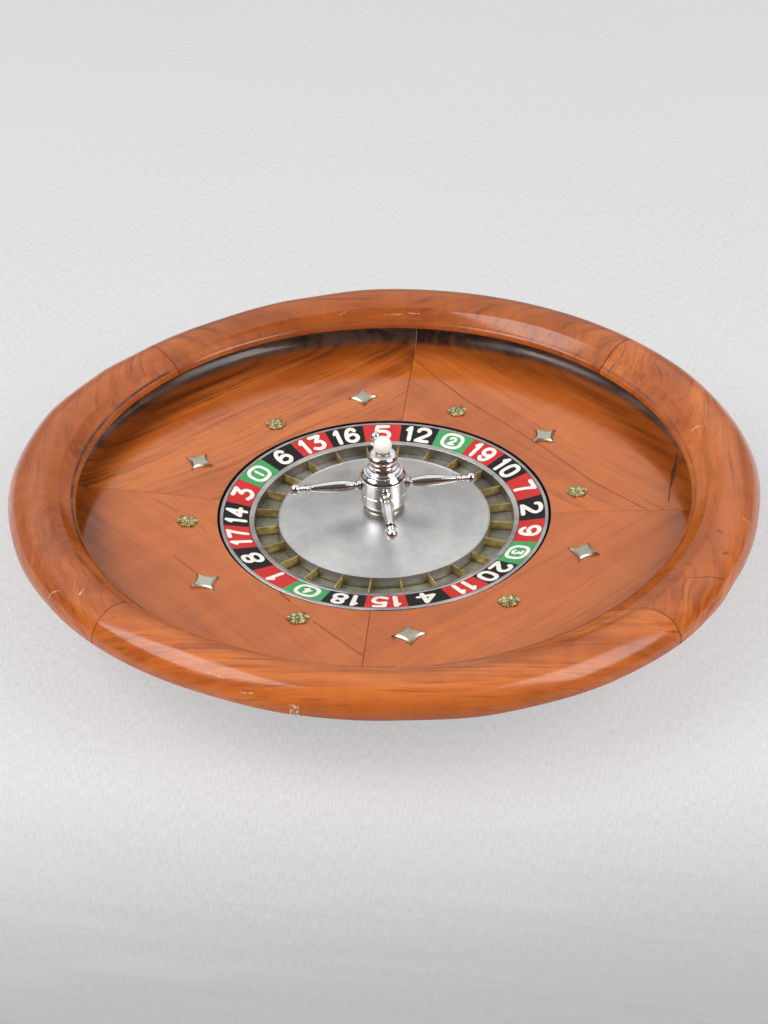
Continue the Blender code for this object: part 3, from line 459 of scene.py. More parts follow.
def woodFinish(name, grainTurn, seed, lines=(), chips=(), scores=(), swirls=(), seams=(),
               lipShadeAndStain=0.0, grooveShadeAndDirt=0.0, figure=1.0, tint=1.0):
    f = Finish(name, wood["main"], 0.2)
    grain = f.turned(f.object, -grainTurn, (seed, seed * 0.7, seed * 0.3))
    drift = f.noise(grain, 2.6, 2.0) - 0.5
    x, y, z = f.parts(grain)
    across = y + drift * 0.035 + z * 0.8
    east, north = f.parts(f.object)[:2]
    wobble = (f.noise(f.object, 150, 2.0) - 0.5) * 0.002
    flat = f.vector(east + wobble, north + wobble, 0.0)
    turmoil = None
    for cx, cy, size in swirls:
        away = f.vectorMaths("DISTANCE", flat, (cx / 1000, cy / 1000, 0.0), out="Value")
        fall = f.step(away, 0.0, size / 1000, 1.0, 0.0)
        across = across + fall * away * 0.45
        turmoil = turmoil.maths("MAXIMUM", fall) if turmoil else fall
    flow = f.vector(x, across, z)
    broad = f.streaked(flow, (1.8, 17, 14), 3.0)
    streaks = f.streaked(flow, (4.2, 85, 45), 5.0, 0.62)
    veins = f.streaked(flow, (7.5, 230, 90), 3.0, 0.6)
    fibres = f.streaked(flow, (24, 850, 300), 2.0, 0.6)
    ripple = f.streaked(flow, (42, 9, 9), 2.0, 0.5, 0.5)
    pores = f.step(f.streaked(flow, (60, 1300, 700), 1.0), 0.66, 0.74)
    body = f.mix(f.step(broad, 0.4, 0.66, 0.0, 0.62 * figure), wood["main"], wood["deep"])
    body = f.mix(f.step(broad, 0.52, 0.3, 0.0, 0.6 * figure), body, wood["pale"])
    body = f.mix(f.step(streaks, 0.46, 0.66, 0.0, 0.62 * figure), body, wood["deep"])
    body = f.mix(f.step(veins, 0.56, 0.7, 0.0, 0.6 * figure), body, wood["vein"])
    body = f.mix(f.step(fibres, 0.35, 0.65, 0.0, 0.24), body, wood["deep"])
    body = f.mix(f.step(ripple, 0.42, 0.66, 0.0, 0.14), body, wood["pale"])
    body = f.mix(pores * 0.3, body, (0.16, 0.035, 0.01))
    if turmoil:
        rings = f.step(f.streaked(flow, (10, 210, 90), 4.0, 0.6), 0.46, 0.62)
        body = f.mix(turmoil * rings * 0.5, body, (0.2, 0.045, 0.01))
    cloud = f.noise(f.object, 14, 4.0, 0.6)
    rough = f.step(cloud, 0.3, 0.7, 0.09, 0.19) + pores * 0.08
    if lipShadeAndStain:
        body, rough = shadeAndStainUnderLip(f, body, rough, broad, streaks, lipShadeAndStain)
    body = f.mix(f.spots(42, 5.0, 0.62, 0.68, 0.8) * 0.3, body, (0.15, 0.05, 0.022))
    height = fibres * 0.25 + streaks * 0.2 + cloud * 0.4 + pores * -0.4
    if lines:  # open joints and cracks
        body = f.mix(f.near(flat, lines, 4.5) * 0.22, body, wood["deep"])
        split = f.near(flat, lines, 0.5)
        body = f.mix(split * 0.86, body, wood["burnt"])
        rough = rough + split * 0.4
        height = height + split * -3.0
    if seams:  # dirt in the glued joints of the rim
        soiled = f.step(cloud, 0.4, 0.6, 0.45, 1.0)
        body = f.mix(f.near(flat, seams, 2.2) * 0.3, body, wood["deep"])
        body = f.mix(f.near(flat, seams, 0.4) * soiled * 0.85, body, wood["burnt"])
    if grooveShadeAndDirt:  # painted shade of the shadow gap, with dirt, along the inner edge of the rim
        reach = f.radius(f.object)
        worn = f.spots(30, 3.0, 0.6, 0.36, 0.56, 0.35, 1.0)
        ditch = f.step(reach, *darkBands["grooveIn"]) * f.step(reach, *darkBands["grooveOut"], 1.0, 0.0)
        body = f.mix(ditch * worn * grooveShadeAndDirt, body, wood["burnt"])
    if scores:  # thin dark scores
        cut = f.near(flat, scores, 0.5)
        body = f.mix(cut * 0.7, body, (0.1, 0.028, 0.01))
        height = height + cut * -1.5
    if chips:  # bare places where the varnish is gone
        bare = f.near(flat, chips, 0.6) * f.spots(420, 3.0, 0.6, 0.44, 0.54)
        body = f.mix(bare * 0.85, body, wood["chipped"])
        rough = rough + bare * 0.4
    f.set("Base Color", f.scaled(body, tint))
    f.set("Roughness", rough)
    f.bump(height, 0.16, 0.0005)
    return f


rim = {"seams": (39, 138, 225, 310), "gap": 0.0004, "middle": 0.36, "steps": 240, "bevel": 0.0004,
       "lean": {138: (-1.5, -1.5), 310: (0.0, 3.5)}, "leanWithin": 22, "seamWidth": 0.45,
       "seed": (1.7, 0.4), "names": ("rimSegment", "rimWood", "rim_wood", "rim_segment")}
rimProfile = [(326.0, 41.0), (325.2, 41.2), (324.7, 42.0), (324.8, 46.0), (325.6, 48.0), (327.2, 49.2),
              (329.5, 51.0), (334.2, 55.8), (339.3, 60.6), (340.3, 61.9)]
rimShoulder = [(340.3, 61.9), (343.5, 64.1), (348.5, 67.4), (355.0, 70.4), (363.5, 71.8)]
rimFoot = [(392.1, 51.6), (392.5, 50.2), (392.5, 43.6), (391.8, 41.9), (390.1, 41.0)]
rimBend = [(0, 2.5, 0), (20, 0.5, 0), (45, 0, -1), (90, 0, -1), (105, -2, -4), (125, -4, -7),
           (140, -4, -7), (150, -3, -4), (165, 0, 0), (180, 1.5, 0), (200, 0, 0), (215, -1.5, 0.5),
           (245, -3, 1.5), (258, -1, 0.5), (270, 0, 0), (285, 3.5, -2.5), (300, 5.5, -4), (310, 6, -4),
           (320, 5, -2), (330, 2, 0), (345, 1, 0), (360, 2.5, 0)]
rimMarks = [
    {"chips": [(0.25, [(1.4, 333.8), (14.8, 333.6), (26.9, 333.1)]),
               (0.2, [(34.3, 333.8), (48.8, 331.8)]), (0.2, [(-48.2, 332.3), (-40.7, 336.3)])],
     "grooveShadeAndDirt": 0.2, "tint": 0.8},
    {"chips": [(1.0, [(-288.0, -229.0), (-290.0, -233.0)]), (0.6, [(-384.0, -62.0), (-383.0, -65.0)]),
               (0.25, [(-326.1, -216.1), (-320.3, -215.8), (-311.5, -220.2)])],
     "swirls": [(-338, -148, 95), (-300, -205, 80)], "grooveShadeAndDirt": 0.9},
    {"chips": [(0.15, [(-161.5, -345.9), (-148.5, -353.2)]),
               (0.15, [(-132.1, -365.0), (-121.2, -368.6)]), (0.5, [(-87.2, -381.1), (-80.4, -383.2)])],
     "scores": [(0.6, [(-254.7, -270.4), (-257.5, -272.0)])], "grooveShadeAndDirt": 0.75},
    {"chips": [(0.9, [(334.9, 50.0), (337.0, 51.3), (341.9, 50.3)]),
               (0.6, [(359.0, -127.9), (365.2, -130.7)])],
     "scores": [(0.4, [(286.3, -228.0), (299.3, -227.4), (323.8, -218.7)]),
                (0.4, [(286.3, -228.0), (280.9, -241.1), (277.7, -258.9)]),
                (1.2, [(328.3, -154.0), (331.5, -158.7)]), (1.0, [(328.7, -189.5), (333.5, -184.7)]),
                (0.9, [(371.0, -89.0), (373.8, -92.0)]), (1.3, [(262.0, 196.0), (267.0, 200.0)])],
     "swirls": [(312, 178, 90), (292, -250, 70)], "grooveShadeAndDirt": 0.45, "tint": 1.03}]


def bent(azimuth):  # how far the worn rim leaves the true ring, out and up
    for (low, outLow, upLow), (high, outHigh, upHigh) in zip(rimBend, rimBend[1:]):
        if low <= azimuth <= high:
            share = 0.5 - 0.5 * cos(pi * (azimuth - low) / (high - low))
            out = outLow + share * (outHigh - outLow)
            up = upLow + share * (upHigh - upLow)
            return out / 1000, up / 1000


def eased(value, low, high):
    share = min(1, max(0, (value - low) / (high - low)))
    return share * share * (3 - 2 * share)


def seamLean(azimuth, reach):  # degrees by which two joints of the rim run aslant
    lean = 0
    for seam, (inner, outer) in rim["lean"].items():
        fade = max(0, 1 - abs(azimuth - seam) / rim["leanWithin"])
        lean += (inner + (outer - inner) * eased(reach, 0.326, 0.392)) * fade
    return lean


def bendRim(piece):
    for corner in piece.data.vertices:
        x, y, z = corner.co
        reach = hypot(x, y)
        azimuth = degrees(atan2(y, x)) % 360
        out, up = bent(azimuth)
        weight = eased(reach, 0.3247, 0.35)
        upper = eased(z, ringLevel + 0.042, ringLevel + 0.056)
        hold = upper + (1 - upper) * (1 - eased(y, -0.1, 0.1))
        turn = radians(azimuth + seamLean(azimuth, reach))
        reach += out * weight
        corner.co = Vector((reach * cos(turn), reach * sin(turn), z + up * weight * hold))


def seamPoints(azimuth):  # where a joint of the bent rim runs, seen from above
    points = []
    for reach in (0.322, 0.345, 0.37, 0.398):
        turn = radians(azimuth + seamLean(azimuth, reach))
        points.append((1000 * reach * cos(turn), 1000 * reach * sin(turn)))
    return points


def makeSegments(look, outline, marks):  # four curved pieces, glued end to end
    shape, grain, slot, node = look["names"]
    for index, start in enumerate(look["seams"]):
        end = look["seams"][(index + 1) % 4]
        span = (end - start) % 360
        piece = ringSegment(f"{shape}{index + 1}", rise(outline), radians(start),
                            radians(span) - look["gap"] / look["middle"],
                            round(look["steps"] * span / 360), look["bevel"])
        seams = ()
        if look is rim:
            bendRim(piece)
            seams = [(rim["seamWidth"], seamPoints(azimuth)) for azimuth in (start, end)]
        finish = woodFinish(f"{grain}{index + 1}", radians(start + span / 2 + 90),
                            look["seed"][0] * index + look["seed"][1], seams=seams, **marks[index])
        finished(piece, "bowl", finish, slot, f"{node}_{index + 1}")


def makeRim():
    crown = arc(363.5, 41.8, 30.0, 84, 22, 18)
    makeSegments(rim, rimProfile + smoothRun(rimShoulder, 3)[1:] + crown + rimFoot, rimMarks)


apron = {"seams": (-4.7, 82.7, 172.5, 265.0), "gap": 0.0004, "middle": 0.25, "steps": 240,
         "bevel": 0.0004, "seed": (2.3, 5.1),
         "names": ("apronPanel", "apronWood", "apron_wood", "bowl_panel")}
trackProfile = [(178.6, -17.7), (178.6, -0.5), (179.1, 0.0), (200, 1.55), (225, 3.4), (250, 5.2),
                (275, 6.3), (300, 7.4), (315, 8.05), (325, 8.5)]
apronBack = [(353, 40.7), (384.2, 40.7), (380.0, 37.1), (345.0, 6.4), (317.6, -17.7)]
apronMarks = [
    {"lines": [(0.3, [(39.3, 309.6), (62.3, 271.2), (97.9, 215.9), (138.2, 167.1), (178.7, 114.6),
                      (207.3, 71.7), (232.8, 31.5), (280.0, -22.2)]),
               (0.5, [(327.3, 81.9), (324.1, 67.7), (321.3, 55.8), (317.4, 44.0), (313.5, 28.4),
                      (309.6, 13.0), (304.8, -9.7)]),
               (1.2, [(323.0, 62.7), (319.0, 49.0), (315.0, 34.0), (311.6, 20.4)]),
               (1.9, [(320.2, 53.0), (317.4, 44.0), (314.4, 31.0)])],
     "lipShadeAndStain": 0.22, "figure": 0.6, "tint": 1.05},
    {"lipShadeAndStain": 0.9, "figure": 1.2, "tint": 0.99},
    {"lines": [(0.3, [(-23.8, -254.8), (-47.6, -226.2), (-72.0, -197.0)]),
               (0.6, [(-97.4, -160.4), (-108.1, -142.7), (-119.7, -130.4)]),
               (0.2, [(-219.1, -82.9), (-194.1, -112.6)]), (0.1, [(-245.9, 18.4), (-221.6, -1.4)]),
               (0.1, [(-196.2, -27.6), (-186.9, -39.3)])],
     "lipShadeAndStain": 0.4, "figure": 0.42, "tint": 0.98},
    {"lipShadeAndStain": 0.45, "figure": 0.45, "tint": 1.01}]


def makeApron():
    cove = []
    for index in range(1, 15):  # a long cove rising to the rim
        across = sin(pi / 2 * index / 14.5)
        cove.append((325 + 28 * across, 8.5 + 32.2 * (1 - (1 - across ** 2.45) ** (1 / 2.45))))
    makeSegments(apron, trackProfile + cove + apronBack, apronMarks)


base = {"board": [(0, 0.02), (0.2985, 0.02), (0.299, 0.0198), (0.2763, 0.0025), (0.2737, 0.0),
                  (0, 0)],
        "bearer": [(0.2394, 0.036), (0.317, 0.036), (0.2993, 0.0203), (0.2394, 0.0203)]}


def makeBase():
    f = Finish("baseWood", (0.2, 0.09, 0.04), 0.6)
    grain = f.streaked(f.object, (5, 90, 20), 5.0)
    f.set("Base Color", f.mix(f.step(grain, 0.3, 0.7), (0.1, 0.04, 0.016), (0.27, 0.125, 0.055)))
    f.set("Roughness", f.spots(30, 4.0, 0.5, 0.3, 0.7, 0.5, 0.72))
    f.bump(grain, 0.3, 0.0005)
    board = lathe("baseBoard", base["board"], onAxis=True)
    finished(board, "bowl", f, "base_wood", "base_board")
    finished(lathe("bearerRing", base["bearer"]), "bowl", f, "base_wood", "bearer_ring")
    black = Finish("bedPaint", (0.02, 0.02, 0.02), 0.7)
    dust = black.noise(black.object, 60, 4.0)
    black.set("Base Color", black.mix(black.step(dust, 0.3, 0.7), (0.012, 0.01, 0.008),
                                      (0.03, 0.024, 0.018)))
    black.bump(dust, 0.2, 0.0004)
    for node in ("rotor_disc", "ring_bed"):
        dress(node, black)


metals = {
    "ringMetal": {"dark": (0.38, 0.36, 0.35), "pale": (0.62, 0.6, 0.585), "rough": (0.28, 0.42)},
    "panMetal": {"dark": (0.13, 0.125, 0.095), "pale": (0.34, 0.33, 0.28), "rough": (0.38, 0.58),
                 "metallic": 0.5, "dirt": (0.1, 0.105, 0.035)},
    "agedBrass": {"dark": (0.4, 0.38, 0.31), "pale": (0.62, 0.59, 0.49), "rough": (0.3, 0.44),
                  "dirt": (0.24, 0.2, 0.12)},
    "paleGold": {"dark": (0.42, 0.4, 0.31), "pale": (0.66, 0.63, 0.52), "rough": (0.24, 0.4),
                 "dirt": (0.36, 0.31, 0.2)},
    "hiddenSteel": {"dark": (0.3, 0.3, 0.3), "pale": (0.5, 0.5, 0.5), "rough": (0.25, 0.4)},
    "washerBrass": {"dark": (0.3, 0.22, 0.08), "pale": (0.5, 0.37, 0.14), "rough": (0.3, 0.45)}}


def wornMetal(name):
    look = {"metallic": 1.0, "dirt": (0.1, 0.09, 0.07), **metals[name]}
    f = Finish(name, look["pale"], look["rough"][0], look["metallic"])
    z = f.parts(f.object)[2]
    rings = f.noise(f.vector(f.radius(f.object) * 1400, z * 1400, 0.0), 1.0, 2.0)
    cloud = f.noise(f.object, 24, 5.0, 0.6)
    grime = f.spots(90, 4.0, 0.6, 0.54, 0.74)
    body = f.mix(f.step(cloud, 0.32, 0.68), look["dark"], look["pale"])
    f.set("Base Color", f.mix(grime * 0.45, body, look["dirt"]))
    f.set("Roughness", f.step(cloud, 0.3, 0.7, *look["rough"]) + grime * 0.12)
    marks = f.scratches(0.7) + f.scratches(2.1, 700, 10)
    f.bump(rings * 0.3 + marks * 0.4 + cloud * 0.6, 0.1, 0.0004)
    return f


rotor = {"steps": 240, "bevel": 0.0002}
trimProfile = [(173.0, -22.0), (177.0, -22.0), (177.0, -1.6), (176.6, -1.0), (175.9, -0.8),
               (174.0, -0.8), (173.0, -0.9)]
lipProfile = [(145.7, -22.0), (139.7, -22.0), (139.7, -7.8), (140.1, -7.3), (143.0, -6.7),
              (145.0, -6.3), (145.5, -6.5), (145.7, -6.9)]
panProfile = [(139.4, -22.0), (116.2, -22.0), (116.2, -20.0), (120, -19.9), (139.4, -19.6)]


def makeRings():
    steel = wornMetal("ringMetal")
    for name, profile, finish, node, bevel in (
            ("trimRing", trimProfile, steel, "trim_ring", rotor["bevel"]),
            ("lipRing", lipProfile, steel, "lip_ring", rotor["bevel"]),
            ("pocketPan", panProfile, wornMetal("panMetal"), "pocket_pan", 0.0)):
        turnedPiece(name, profile, rotor["steps"], finish, "grey_metal", node, bevel=bevel)


band = {"outer": 172.7, "inner": 146.0, "top": -1.2, "drop": 5.6, "cells": 24, "cellTurn": 15,
        "back": [(146.0, -9.8), (172.7, -4.2)], "order": "rbgrbrbrgbrbrbgrbrbrgbrb"}


enamels = [("enamelBlack", (0.013, 0.012, 0.012), (0.021, 0.019, 0.018), (0.16, 0.15, 0.14)),
           ("enamelRed", (0.6, 0.04, 0.038), (0.5, 0.035, 0.033), (0.6, 0.4, 0.36)),
           ("enamelGreen", (0.07, 0.36, 0.125), (0.055, 0.3, 0.105), (0.42, 0.5, 0.4))]


def enamel(name, colour, dark, chip):
    f = Finish(name, colour, 0.42, specular=0.14)
    cloud = f.noise(f.object, 45, 4.0)
    chips = f.spots(240, 4.0, 0.65, 0.68, 0.74) * f.spots(30, 2.0, 0.5, 0.48, 0.62)
    body = f.mix(f.step(cloud, 0.3, 0.7, 0.0, 0.6), colour, dark)
    f.set("Base Color", f.mix(chips * 0.45, body, chip))
    f.set("Roughness", f.step(cloud, 0.3, 0.7, 0.36, 0.54))
    f.bump(cloud * 0.6 + f.noise(f.object, 700, 2.0) * 0.3, 0.12, 0.0004)
    return f


def makeNumberRing():
    wide = band["outer"] - band["inner"]
    slope = band["drop"] / wide
    radii = [band["outer"] - share * wide for share in (0.0, 0.33, 0.66, 1.0)]
    points = [(radius, band["top"] - slope * (band["outer"] - radius)) for radius in radii]
    piece = lathe("numberRing", rise(points + band["back"]), band["cells"] * 8)
    black, red, green = [enamel(*look) for look in enamels]
    finished(piece, "rotor", black, "enamel", "number_ring")
    for paint in (red, green):
        piece.data.materials.append(paint.material)
    for face in piece.data.polygons:
        if face.normal.z > 0.5:
            place = (90 - degrees(atan2(face.center.y, face.center.x))) % 360
            cell = round(place / band["cellTurn"]) % band["cells"]
            face.material_index = "brg".index(band["order"][cell])


numbers = {"texts": "5 12 (2 19 10 7 2 9 (3 20 11 4 15 18 (4 1 8 17 14 3 (1 6 13 16".split(),
           "height": 25.0, "stroke": 4.9, "thick": 0.1, "lift": 0.00022, "between": 3.5,
           "frame": (25.4, 26.6, 4.4),
           "framed": {"height": 13.6, "one": 4.6, "other": 9.4, "stroke": 3.2},
           "alone": {"1": 9.4, "2": 21.5, "3": 20.0, "4": 21.0, "5": 20.5, "6": 19.0, "7": 19.5,
                     "8": 19.5, "9": 20.5},
           "paired": {"0": 16.8, "1": 8.8, "2": 17.8, "3": 17.6, "4": 18.2, "5": 17.8, "6": 17.4,
                      "7": 16.6, "8": 16.6, "9": 17.2}}
strokes = {  # o closed or l open, then runs of points in a box 1 by 1
    "frame": ["o", [(0, 1), (.2, .99), (.4, .88), (.49, .7), (.5, .5), (.49, .3), (.4, .12),
                    (.2, .01), (0, 0), (-.2, .01), (-.4, .12), (-.49, .3), (-.5, .5), (-.49, .7),
                    (-.4, .88), (-.2, .99)]],
    "0": ["o", [(0, 1), (.34, .94), (.5, .72), (.5, .28), (.34, .06), (0, 0), (-.34, .06), (-.5, .28),
                (-.5, .72), (-.34, .94)]],
    "1": ["l", [(-.5, .8), (.25, 1)], [(.25, 1), (.25, .5), (.25, 0)]],
    "2": ["l", [(-.5, .76), (-.42, .92), (-.08, 1.0), (.32, .94), (.5, .74), (.36, .52), (-.06, .28),
                (-.5, 0)], [(-.5, 0), (.5, 0)]],
    "3": ["l", [(-.46, 1), (.4, 1)], [(.4, 1), (-.06, .6)],
          [(-.06, .6), (.32, .54), (.5, .3), (.3, .06), (-.08, 0), (-.5, .12)]],
    "4": ["l", [(.16, 1), (-.5, .3)], [(-.5, .3), (.5, .3)], [(.16, 1), (.16, 0)]],
    "5": ["l", [(.44, 1), (-.34, 1)], [(-.34, 1), (-.42, .58)],
          [(-.42, .58), (-.02, .64), (.38, .54), (.5, .3), (.3, .05), (-.1, 0), (-.5, .1)]],
    "6": ["l", [(.34, .84), (.16, .98), (-.14, .98), (-.4, .76), (-.5, .4), (-.42, .12), (-.1, 0),
                (.28, .04), (.5, .26), (.36, .5), (.02, .57), (-.36, .46)]],
    "7": ["l", [(-.5, 1), (.5, 1)], [(.5, 1), (.2, .56), (.0, 0)]],
    "8": ["o", [(0, 1), (.3, .95), (.4, .77), (.28, .6), (0, .54), (-.28, .6), (-.4, .77),
                (-.3, .95)],
          [(0, .54), (.36, .46), (.5, .27), (.36, .06), (0, 0), (-.36, .06), (-.5, .27), (-.36, .46)]],
    "9": ["l", [(-.34, .16), (-.16, .02), (.14, .02), (.4, .24), (.5, .6), (.42, .88), (.1, 1),
                (-.28, .96), (-.5, .74), (-.36, .5), (-.02, .43), (.36, .54)]]}
roundEnd = [(0.38, 0.92), (0.71, 0.7), (0.92, 0.39), (1.0, 0.06)]  # how far out, how wide


def strokeTube(name, points, closed, width):  # a tube with round ends, flattened later
    run = [Vector(point) for point in smoothRun(points + points[:1] if closed else points, 3)]
    if closed:
        run.pop()
    sizes = [1.0] * len(run)
    if not closed:
        head = (run[0] - run[1]).normalized() * width / 2
        tail = (run[-1] - run[-2]).normalized() * width / 2
        first, last = run[0], run[-1]
        for far, size in roundEnd:
            run = [first + head * far] + run + [last + tail * far]
            sizes = [size] + sizes + [size]
    clearSelection()
    bpy.ops.curve.primitive_bezier_curve_add()
    line = bpy.context.object
    line.name = name
    line.data.splines.clear()
    spline = line.data.splines.new("POLY")
    spline.points.add(len(run) - 1)
    for point, place, size in zip(spline.points, run, sizes):
        point.co = (place.x, place.y, 0, 1)
        point.radius = size
    spline.use_cyclic_u = closed
    line.data.dimensions = "3D"
    line.data.twist_mode = "Z_UP"
    line.data.bevel_depth = width / 2
    line.data.bevel_resolution = 2
    line.data.use_fill_caps = True
    bpy.ops.object.convert(target="MESH")
    return bpy.context.object


def makeGlyph(mark, tall, width, stroke):
    pieces = []
    for index, line in enumerate(strokes[mark][1:]):
        points = [(x * (width - stroke), (y - 0.5) * (tall - stroke)) for x, y in line]
        pieces.append(strokeTube(f"stroke{mark}{index}", points, strokes[mark][0] == "o", stroke))
    return joinUp(pieces)


def cellMarks(text):  # mark, offset along the ring, height, width, stroke
    if text[0] == "(":  # a small digit in an oval frame
        look = numbers["framed"]
        size = look["one"] if text[1] == "1" else look["other"]
        return [("frame", 0.0, *numbers["frame"]), (text[1], 0.0, look["height"], size, look["stroke"])]
    sizes = [numbers["alone" if len(text) == 1 else "paired"][mark] for mark in text]
    start = -(sum(sizes) + numbers["between"] * (len(text) - 1)) / 2
    marks = []
    for mark, size in zip(text, sizes):
        marks.append((mark, start + size / 2, numbers["height"], size, numbers["stroke"]))
        start += size + numbers["between"]
    return marks


def makeNumbers():
    paint = Finish("numberEnamel", (0.86, 0.83, 0.76), 0.34, specular=0.35)
    cloud = paint.noise(paint.object, 160, 4.0)
    worn = paint.spots(330, 3.0, 0.6, 0.67, 0.73)
    body = paint.mix(paint.step(cloud, 0.4, 0.72), (0.9, 0.87, 0.8), (0.76, 0.72, 0.64))
    paint.set("Base Color", paint.mix(worn * 0.35, body, (0.32, 0.27, 0.23)))
    paint.set("Roughness", paint.step(cloud, 0.3, 0.7, 0.28, 0.45))
    paint.bump(paint.noise(paint.object, 500, 3.0), 0.15, 0.0003)
    slope = atan2(band["drop"], band["outer"] - band["inner"])
    middle = (band["outer"] + band["inner"]) / 2
    height = band["top"] - band["drop"] / 2
    for cell, text in enumerate(numbers["texts"]):
        glyphs = []
        for mark, offset, tall, size, stroke in cellMarks(text):
            glyph = makeGlyph(mark, tall, size, stroke)
            swing = radians(90 - band["cellTurn"] * cell) - offset / middle
            place = Vector((0, middle / 1000, ringLevel + height / 1000 + numbers["lift"]))
            glyph.matrix_world = (spun(swing - pi / 2) @ Matrix.Translation(place)
                                  @ Matrix.Rotation(slope, 4, "X")
                                  @ Matrix.Diagonal((0.001, 0.001, 0.001 * numbers["thick"], 1)))
            glyphs.append(glyph)
        choose(*glyphs)
        bpy.ops.object.transform_apply(location=True, rotation=True, scale=True)
        piece = joinUp(glyphs)
        piece.name = f"cellNumber{cell + 1}"
        piece.data.name = piece.name
        closeUp(piece, 60)
        finished(piece, "rotor", paint, "enamel")


frets = {"outer": 139.4, "inner": 114.6, "top": -9.0, "footOuter": -19.3, "footInner": -19.7,
         "halfTop": 0.45, "halfFoot": 0.6, "edge": 0.00022, "each": 6, "turn": 15, "first": 7.5,
         "hoop": [(114.6, -22.0), (115.9, -22.0), (115.9, -18.8), (114.6, -18.8)], "hoopGap": 0.003}


def makeFrets():
    brass = Finish("fretBrass", (0.56, 0.43, 0.16), 0.36, 0.7)
    cloud = brass.noise(brass.object, 120, 5.0, 0.62)
    tarnish = brass.spots(55, 4.0, 0.5, 0.42, 0.66)
    body = brass.mix(brass.step(cloud, 0.32, 0.68), (0.5, 0.36, 0.11), (0.86, 0.66, 0.26))
    body = brass.mix(tarnish * 0.45, body, (0.22, 0.17, 0.06))
    lower = brass.step(brass.parts(brass.object)[2], 0.035, 0.0372, 1.0, 0.0)
    brass.set("Base Color", brass.mix(lower * 0.7, body, (0.13, 0.11, 0.06)))
    brass.set("Roughness", brass.step(cloud, 0.3, 0.7, 0.28, 0.48))
    brass.bump(cloud, 0.12, 0.0004)
    clearSelection()
    bpy.ops.mesh.primitive_cube_add(size=1)
    plate = bpy.context.object
    for corner in plate.data.vertices:  # a plate that tapers upwards
        end = "Outer" if corner.co.x > 0 else "Inner"
        half = frets["halfTop" if corner.co.z > 0 else "halfFoot"]
        corner.co = Vector((frets[end.lower()], half if corner.co.y > 0 else -half,
                            frets["top" if corner.co.z > 0 else "foot" + end]))
    plate.data.transform(Matrix.Translation((0, 0, ringLevel)) @ Matrix.Scale(0.001, 4))
    roundEdges(plate, frets["edge"])
    for strip in range(4):
        parts = [ringSegment(f"fretStrip{strip + 1}", rise(frets["hoop"]), strip * pi / 2,
                             pi / 2 - frets["hoopGap"], 24)]
        for index in range(frets["each"]):
            turn = radians(90 * strip + frets["turn"] * index + frets["first"])
            parts.append(copied(plate, f"fret{strip}{index}", spun(turn)))
        hoop = joinUp(parts)
        closeUp(hoop)
        finished(hoop, "rotor", brass, "brass", f"fret_strip_{strip + 1}")
    bpy.data.objects.remove(plate)


coneProfile = [(10.3, 3.0), (24.0, 3.0), (25.2, 2.9), (27.0, 2.6), (60, -1.6), (100, -6.8),
               (112.7, -8.4), (113.0, -7.9), (113.6, -7.6), (114.1, -7.8), (114.3, -8.3),
               (114.3, -22.0), (112.1, -22.0), (112.1, -10.5), (10.3, 0.8)]


def makeCone():
    f = Finish("coneMetal", (0.55, 0.55, 0.545), 0.24, 1.0)
    cloud = f.noise(f.object, 14, 6.0, 0.65)
    speck = f.spots(260, 3.0, 0.6, 0.64, 0.74)
    rings = f.noise(f.vector(f.radius(f.object) * 900, 0.0, 0.0), 1.0, 2.0)
    body = f.mix(f.step(cloud, 0.32, 0.68), (0.52, 0.52, 0.515), (0.72, 0.72, 0.71))
    body = f.mix(f.spots(30, 4.0, 0.6, 0.5, 0.75, 0.0, 0.3), body, (0.52, 0.49, 0.43))
    f.set("Base Color", f.mix(speck * 0.45, body, (0.2, 0.18, 0.15)))
    f.set("Roughness", f.step(cloud, 0.3, 0.7, 0.35, 0.46))
    marks = f.scratches(0.4, 800, 16) + f.scratches(1.5, 620, 12) + f.scratches(2.4, 900, 9)
    f.bump(rings * 0.2 + marks * 0.4 + cloud * 1.0, 0.05, 0.0004)
    turnedPiece("coneCover", coneProfile, rotor["steps"], f, "cone_metal", "cone_cover")


turret = {"steps": 96, "bevel": 0.0002, "armSteps": 40, "armTurn": 4.6, "armLength": 75.2,
          "armWidth": 6.8, "armStart": 0.0248, "armRise": 0.0323, "tip": 6.0}
baseProfile = [(10.3, 18.8), (20.0, 18.8), (20.2, 18.2), (19.7, 16.5), (19.3, 13), (19.4, 9.5),
               (19.8, 7.0), (20.5, 5.6), (21.3, 5.0), (21.7, 4.3), (21.7, 3.3), (10.3, 3.3)]
seatProfile = [(5.2, 70.3), (7.6, 70.3), (7.6, 72.0), (7.2, 72.4), (5.2, 72.4)]
capShares = [(0.519, 1.000), (0.584, 0.96), (0.642, 0.888), (0.663, 0.8), (0.634, 0.714),
             (0.551, 0.634), (0.486, 0.576), (0.477, 0.525), (0.519, 0.467), (0.59, 0.435)]
armShares = [(0.000, 0.9), (0.022, 0.93), (0.034, 0.76), (0.048, 0.95), (0.066, 0.72), (0.085, 0.66),
             (0.16, 0.82), (0.27, 1.00), (0.38, 0.97), (0.52, 0.8), (0.66, 0.58), (0.705, 0.5),
             (0.722, 0.68), (0.74, 0.52), (0.758, 0.6), (0.768, 0.9), (0.782, 0.6), (0.8, 0.48),
             (0.822, 0.62), (0.842, 0.46), (0.858, 0.46)]


